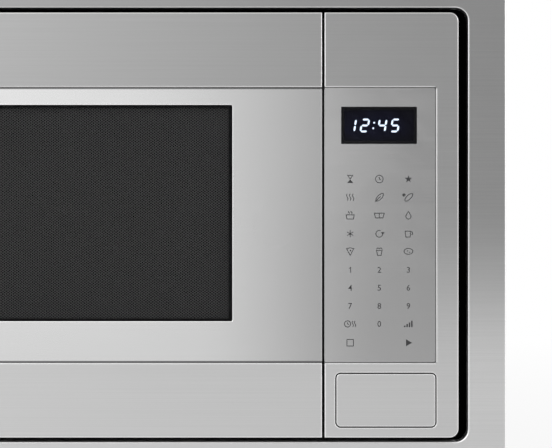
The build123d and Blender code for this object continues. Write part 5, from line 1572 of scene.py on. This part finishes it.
@dataclass
class ControlPanel(SubAssembly):
    """The control panel with its display, keypad and release button."""

    FINISHES = ((FRONT_STEEL, "panel_fascia button_plate"), (OVERLAY, "keypad_overlay"),
                (BLACK_PLASTIC, "panel_carrier release_button"), (LENS, "display_lens"),
                (BOARD, "control_board"), (PART_PLASTIC, "board_relays"),
                (WHITE_PLASTIC, "release_lever"), (SPRING_STEEL, "button_spring"))

    digit_h: float = 4.6 * MM
    line: float = 0.62 * MM
    picture_scale: float = 1.3
    ink: float = 0.03 * MM
    clock_x: tuple[float, ...] = (214.0 * MM, 224.4 * MM, 238.3 * MM, 248.6 * MM)
    clock_z: float = 289.9 * MM
    clock_h: float = 11.0 * MM
    clock_w: float = 6.9 * MM
    bar: float = 1.5 * MM
    bar_gap: float = 0.25 * MM
    dot_r: float = 0.75 * MM
    slant: float = 0.16
    colon_shift: float = 0.2 * MM
    colon_levels: Point = (0.3, 0.7)
    halo_shift: float = 4.0 * MM
    glow_depth: Point = (0.12 * MM, 0.02 * MM)
    mask_inset: float = 1.0 * MM
    mask_r: float = 0.6 * MM
    mask_depth: Point = (0.44 * MM, 0.47 * MM)

    def add(self) -> None:
        """Dresses the display, prints the keypad and lights the clock."""
        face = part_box("display_module")[0].y
        middle = ((self.clock_x[0] + self.clock_x[3]) / 2 + self.halo_shift, face,
                  self.clock_z + self.clock_h / 2)
        Piece.dress(DarkDisplay("display_face", (0.008, 0.008, 0.01), 0.35, middle=middle),
                    "display_module")
        self.keypad()
        self.clock(face)
        self.lens_mask()

    def digit(self, text: str, x: float, z: float, face: float) -> bpy.types.Mesh:
        """A printed digit.

        Args:
            text: The digit.
            x: Its middle.
            z: Its middle.
            face: The surface that it is printed on, in Y.

        Returns:
            The digit's mesh.
        """
        curve = bpy.data.curves.new("digit", "FONT")
        curve.body, curve.size, curve.resolution_u = text, 1.0, 3
        curve.extrude, curve.offset = 0.5, 0.008
        holder = linked("digit", curve)
        mesh = evaluated(holder)
        bpy.data.objects.remove(holder)
        across, up = ([v.co[i] for v in mesh.vertices] for i in (0, 1))
        left, foot = (min(across) + max(across)) / 2, (min(up) + max(up)) / 2
        scale = self.digit_h / (max(up) - min(up))
        for v in mesh.vertices:
            v.co = (x + (v.co.x - left) * scale, face - self.ink * (v.co.z + 0.5),
                    z + (v.co.y - foot) * scale)
        shape = bmesh.new()
        shape.from_mesh(mesh)
        return to_mesh(shape)

    def keypad(self) -> None:
        """Prints the digits and pictures on the overlay."""
        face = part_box("keypad_overlay")[0].y
        depth = (face - self.ink, face)
        drawn, digits = bmesh.new(), []
        for row, keys in zip(KEY_ROWS, KEYS):
            for column, key in zip(KEY_COLUMNS, keys):
                if isinstance(key, str):
                    digits.append(self.digit(key, column * MM, row * MM, face))
                elif key:
                    scale = 1.0 if key is Picture.ONE else self.picture_scale
                    for stroke, points in key.value:
                        line = [((column + scale * x) * MM, (row + scale * z) * MM)
                                for x, z in points]
                        if stroke is FILLED:
                            prism(drawn, line, depth)
                        else:
                            ribbon(drawn, line, stroke is CLOSED, self.line / 2, depth)
        Piece.add("keypad_pictures", to_mesh(drawn), KEYPAD_INK, "housing", "overlay")
        Piece.add("keypad_digits", joined(digits), KEYPAD_INK, "housing", "overlay")

    def clock(self, face: float) -> None:
        """Lights the clock's segments on the display.

        Args:
            face: The display's front, in Y.
        """
        shape = bmesh.new()
        depth = tuple(face - proud for proud in self.glow_depth)
        for x, lit in zip(self.clock_x, ("bc", "abged", "fgbc", "afgcd")):
            for name in lit:
                prism(shape, self.segment(name, x), depth)
        colon_x = (self.clock_x[1] + self.clock_w + self.clock_x[2]) / 2 + self.colon_shift
        for z in (level * self.clock_h for level in self.colon_levels):
            prism(shape, arc(colon_x + self.slant * z, self.clock_z + z, self.dot_r), depth)
        Piece.add("clock_segments", to_mesh(shape), CLOCK_GLOW, "housing", "display_black")

    def lens_mask(self) -> None:
        """Black mask printed round the back of the display's lens."""
        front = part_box("display_lens")[0].y
        mesh = frame_plate(face_box("display_lens"), self.mask_r,
                           face_box("display_module", self.mask_inset), self.mask_r,
                           [front + depth for depth in self.mask_depth])
        Piece.add("lens_mask", mesh, BORDER_INK, "housing", "display_black")

    def segment(self, name: str, x: float) -> list[Point]:
        """The outline of one segment.

        Args:
            name: Its letter, from a at the top round to g in the middle.
            x: The digit's left edge.

        Returns:
            Its corners.
        """
        half = self.bar / 2
        left, right = half, self.clock_w - half
        low, mid, top = half, self.clock_h / 2, self.clock_h - half
        start, end = (Vector(p) for p in {
            "a": ((left, top), (right, top)), "b": ((right, top), (right, mid)),
            "c": ((right, mid), (right, low)), "d": ((right, low), (left, low)),
            "e": ((left, low), (left, mid)), "f": ((left, mid), (left, top)),
            "g": ((left, mid), (right, mid))}[name])
        along = (end - start).normalized()
        side = Vector((-along.y, along.x)) * half
        start, end = start + along * self.bar_gap, end - along * self.bar_gap
        corners = (start, start + along * half + side, end - along * half + side, end,
                   end - along * half - side, start + along * half - side)
        return [(x + p.x + self.slant * p.y, self.clock_z + p.y) for p in corners]


@dataclass
class OvenBody(SubAssembly):
    """The oven's outer body: wrapper, panels, hinges, feet and fasteners."""

    FINISHES = ((SHADE_PAINTED_ZINC, "base_plate"), (ZINC, "rear_panel"), (BODY_PAINT, "outer_wrapper"),
                (BLACK_ENAMEL, "front_frame"), (PLATED_STEEL, "upper_hinge lower_hinge screws"),
                (RUBBER, "feet"), (BLACK_PLASTIC, "cord_bushing"))

    weld_pitch: float = 42.0 * MM
    flange: float = 6.0 * MM
    first_weld: float = 14.0 * MM

    def add(self) -> None:
        """Adds spot welds along the wrapper's sides, near the front frame."""
        low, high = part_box("outer_wrapper")
        count = int((high.z - low.z) / self.weld_pitch)
        right = Vector((1.0, 0.0, 0.0))
        rows = [spot_welds((x, low.y + self.flange, low.z + self.first_weld),
                           (0.0, 0.0, self.weld_pitch), count, way, BODY_PAINT)
                for x, way in ((low.x, -right), (high.x, right))]
        Piece.add("wrapper_spot_welds", joined(rows), BODY_PAINT, "housing", "body_sheet")


class OvenCavity(SubAssembly):
    """The cooking space with its turntable."""

    FINISHES = ((ENAMEL, "oven_cavity"), (MICA, "waveguide_cover"), (TRAY_GLASS, "glass_tray"),
                (WHITE_PLASTIC, "roller_ring roller_1 roller_2 roller_3 drive_coupler"),
                (BULB_GLASS, "oven_lamp"), (ZINC, "lamp_holder"))


@dataclass
class PowerBay(SubAssembly):
    """What sits behind the control panel: power parts, fan, latch and sensors."""

    FINISHES = ((ZINC, "waveguide capacitor_clamp turntable_motor cavity_sensors"),
                (ALUMINIUM, "magnetron capacitor"),
                (BLACK_PLASTIC, "high_voltage_diode interlock_switches fan_blade"),
                (WHITE_PLASTIC, "air_duct fan_housing latch_board"), (BOARD, "filter_board"))

    core_leg: float = 21.0 * MM
    core_yoke: float = 18.0 * MM
    coil_side: float = 0.1 * MM
    coil_top: float = 0.6 * MM
    wound_share: float = 0.42
    wire_r: float = 0.5 * MM
    wire_pitch: float = 1.1 * MM
    corner_r: float = 9.0 * MM
    motor_coil: float = 6.0 * MM
    winding_start: float = 2.0 * MM
    board_rim: float = 8.0 * MM
    part_size: Place = (4.4 * MM, 1.3 * MM, 2.0 * MM)
    part_rows: int = 6
    part_columns: int = 7
    part_pitch: float = 9.0 * MM
    part_edge: float = 0.25 * MM
    left_out: float = 0.3
    seed: int = 5

    def add(self) -> None:
        """Adds the winding and the board's small parts."""
        self.transformer()
        low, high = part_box("fan_motor")
        finish = IronAndPaper("fan_motor_core", grey(0.3), 0.45, paper=grey(0.05),
                              low=(low.y, low.z), high=(low.y + self.motor_coil, high.z))
        Piece.dress(finish, "fan_motor")
        self.small_parts()

    def transformer(self) -> None:
        """The core's finish, and wire wound round the windings' solid, side by side along Y."""
        low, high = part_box("transformer")
        front, back = low.y + self.core_leg, high.y - self.core_leg
        bottom, top = low.z + self.core_yoke, high.z - self.core_yoke
        finish = IronAndPaper("transformer_core", (0.12, 0.1, 0.09), 0.5,
                              low=(front, bottom), high=(back, top))
        Piece.dress(finish, "transformer")
        reach = (high.x - low.x) / 2 + self.coil_side - self.wire_r
        rise = (top - bottom) / 2 + self.coil_top - self.wire_r
        turns = int((back - front) * self.wound_share / self.wire_pitch)
        maker = Repeater("wire winding", {
            "Count": turns,
            "Start": ((low.x + high.x) / 2, front + self.winding_start, (bottom + top) / 2),
            "Pitch": (0.0, self.wire_pitch, 0.0), "Width": 2 * reach, "Height": 2 * rise,
            "Corner": self.corner_r, "Wire": self.wire_r})
        given = maker.given
        loop = maker.step("GeometryNodeCurvePrimitiveQuadrilateral",
                          {"Width": given["Width"], "Height": given["Height"]})
        loop = maker.step("GeometryNodeFilletCurve", {"Curve": loop, "Count": 4,
                                                      "Radius": given["Corner"]}, mode="POLY")
        wire = maker.step("GeometryNodeCurvePrimitiveCircle",
                          {"Resolution": 6, "Radius": given["Wire"]})
        tube = maker.step("GeometryNodeCurveToMesh", {"Curve": loop, "Profile Curve": wire})
        tube = maker.step("GeometryNodeTransform", {"Geometry": tube,
                                                    "Rotation": (math.pi / 2, 0.0, 0.0)})
        mesh = maker.mesh(maker.row(), tube, COPPER, bpy.data.meshes.new("winding"))
        Piece.add("transformer_winding", mesh, COPPER, "housing", "copper_iron")

    def small_parts(self) -> None:
        """Small parts soldered on the back of the control board, from one seed."""
        low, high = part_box("control_board")
        start = (low.x + self.board_rim, high.y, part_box("board_relays")[1].z + self.board_rim)
        pitch_x = (high.x - low.x - 2 * self.board_rim) / (self.part_columns - 1)
        maker = Repeater("small board parts", {
            "Columns": self.part_columns, "Count": self.part_columns * self.part_rows,
            "Seed": self.seed, "Start": start, "Pitch X": pitch_x, "Pitch Z": self.part_pitch})
        seed = maker.given["Seed"]
        left_out = maker.step("FunctionNodeRandomValue",
                              {"Probability": self.left_out, "Seed": seed}, 3,
                              data_type="BOOLEAN")
        points = maker.step("GeometryNodeDeleteGeometry", {"Geometry": maker.grid(),
                                                           "Selection": left_out})
        quarter = maker.step("FunctionNodeRandomValue", {4: 0, 5: 1, "Seed": seed}, 2,
                             data_type="INT")
        turn = maker.whole(Y=maker.times(quarter, math.pi / 2))
        part = block((0.0, self.part_size[1] / 2, 0.0), self.part_size,
                     self.part_edge, 1)
        mesh = maker.mesh(points, maker.given["Geometry"], AMBER_PLASTIC, to_mesh(part), turn)
        Piece.add("board_small_parts", mesh, AMBER_PLASTIC, "housing", "board_parts")


@dataclass
class Studio:
    """Pale floor, shelf, soft lamps, world and camera."""

    pixel: float = 0.795 * MM
    picture_width: int = 552
    middle: Point = (157.9 * MM, 216.8 * MM)
    face: float = -26.0 * MM
    distance: float = 2.0
    sensor: float = 36.0
    floor_z: float = -27.6 * MM
    floor_size: float = 8.0
    shelf_side: float = 30.0 * MM
    shelf_back: float = 42.0 * MM
    shelf_inset: float = 2.0 * MM
    shelf_drop: float = 0.1 * MM
    shelf_edge: float = 1.5 * MM
    paint: StudioPaint = STUDIO_PAINT

    def build(self) -> None:
        """Makes everything that isn't part of the oven."""
        self.camera()
        self.world()
        for name, place, size, power in (("key_lamp", (-1.3, -2.2, 1.5), 1.3, 22.0),
                                         ("fill_lamp", (1.9, -1.6, 1.2), 1.0, 9.0),
                                         ("back_lamp", (-0.6, 2.2, 1.8), 1.3, 16.0)):
            self.lamp(name, place, size, power)
        self.floor()

    def camera(self) -> None:
        """The camera of the photograph, straight in front of the face."""
        data = bpy.data.cameras.new("camera")
        data.sensor_width = self.sensor
        data.lens = self.sensor * self.distance / (self.picture_width * self.pixel)
        data.clip_end = 100.0
        made = linked("camera", data)
        made.location = (self.middle[0], self.face - self.distance, self.middle[1])
        made.rotation_euler = (math.pi / 2, 0.0, 0.0)
        bpy.context.scene.camera = made
        bpy.context.scene.view_settings.view_transform = "Standard"

    def lamp(self, name: str, place: Place, size: float, power: float) -> None:
        """A soft square lamp that looks at the oven's middle.

        Args:
            name: Its name.
            place: Where it hangs.
            size: Its side.
            power: Its power in watts.
        """
        data = bpy.data.lights.new(name, "AREA")
        data.shape, data.size, data.energy = "SQUARE", size, power
        made = linked(name, data)
        made.location = place
        away = Vector(place) - Vector((0.0, 0.2, 0.2))
        made.rotation_euler = away.to_track_quat("Z", "Y").to_euler()
        made.visible_camera = False

    def world(self) -> None:
        """White to the camera; a soft studio, brighter at left and below, to metal."""
        made = bpy.data.worlds.new("studio")
        made.use_nodes = True
        bpy.context.scene.world = made
        made.node_tree.nodes.clear()
        g = Graph(made.node_tree)
        x, y, z = g.parts(g.node("ShaderNodeTexCoord").outputs["Generated"])
        front = g.math("MAXIMUM", g.times(y, -1.0), 0.2)
        across, upright = g.math("DIVIDE", x, front), g.math("DIVIDE", z, front)
        screen = g.times(g.span(across, -0.03, 0.03, 1.37, 0.17),
                         g.span(upright, -0.15, 0.15, 1.08, 0.92))
        edge = g.math("MAXIMUM", g.math("ABSOLUTE", across), g.math("ABSOLUTE", upright))
        ahead = g.span(y, -0.35, 0.0, g.span(edge, 0.4, 0.6, screen, 1.4), 1.0)
        rays = g.node("ShaderNodeLightPath").outputs
        seen = g.math("ADD", rays["Is Glossy Ray"], rays["Is Transmission Ray"], clamp=True)
        level = g.blend(rays["Is Camera Ray"], g.blend(seen, grey(0.62), ahead), grey(1.0))
        light = g.step("ShaderNodeBackground", {"Color": level})
        g.feed(g.node("ShaderNodeOutputWorld").inputs[0], light)

    def floor(self) -> None:
        """Pale floor, and the pale shelf that the rails stand on."""
        shape = bmesh.new()
        bmesh.ops.create_grid(shape, x_segments=1, y_segments=1, size=self.floor_size)
        bmesh.ops.translate(shape, verts=shape.verts, vec=(0.0, 0.0, self.floor_z))
        self.stage("floor", shape)
        low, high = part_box("support_rails")
        front, back = low.y + self.shelf_inset, high.y + self.shelf_back
        size = (high.x - low.x + 2 * self.shelf_side, back - front, -self.floor_z)
        middle = ((low.x + high.x) / 2, (front + back) / 2, self.floor_z / 2 - self.shelf_drop)
        self.stage("shelf", block(middle, size, self.shelf_edge))

    def stage(self, name: str, shape: bmesh.types.BMesh) -> None:
        """Adds a pale thing that isn't part of the oven.

        Args:
            name: Its name.
            shape: Its shape, which is freed.
        """
        mesh = written(shape)
        mesh.materials.append(self.paint.build())
        made = linked(name, mesh)
        made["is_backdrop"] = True


def corners(box: tuple[Vector, Vector]) -> list[list[float]]:
    """A box's lowest and highest corners as plain lists."""
    return [[float(value) for value in corner] for corner in box]


def main() -> None:
    """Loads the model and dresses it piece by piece."""
    logging.basicConfig(level=logging.INFO, format="%(name)s: %(message)s")
    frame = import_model()
    model_box = corners(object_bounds())
    Piece.nodes = frame["nodes"]
    for part in (TrimAndCarrier(), Door(), ControlPanel(), OvenBody(), OvenCavity(), PowerBay(),
                 Studio()):
        part.build()
        log.info("%s is finished", type(part).__name__)
    {"model": model_box, "dressed": corners(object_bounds())}


if __name__ == "__main__":
    main()
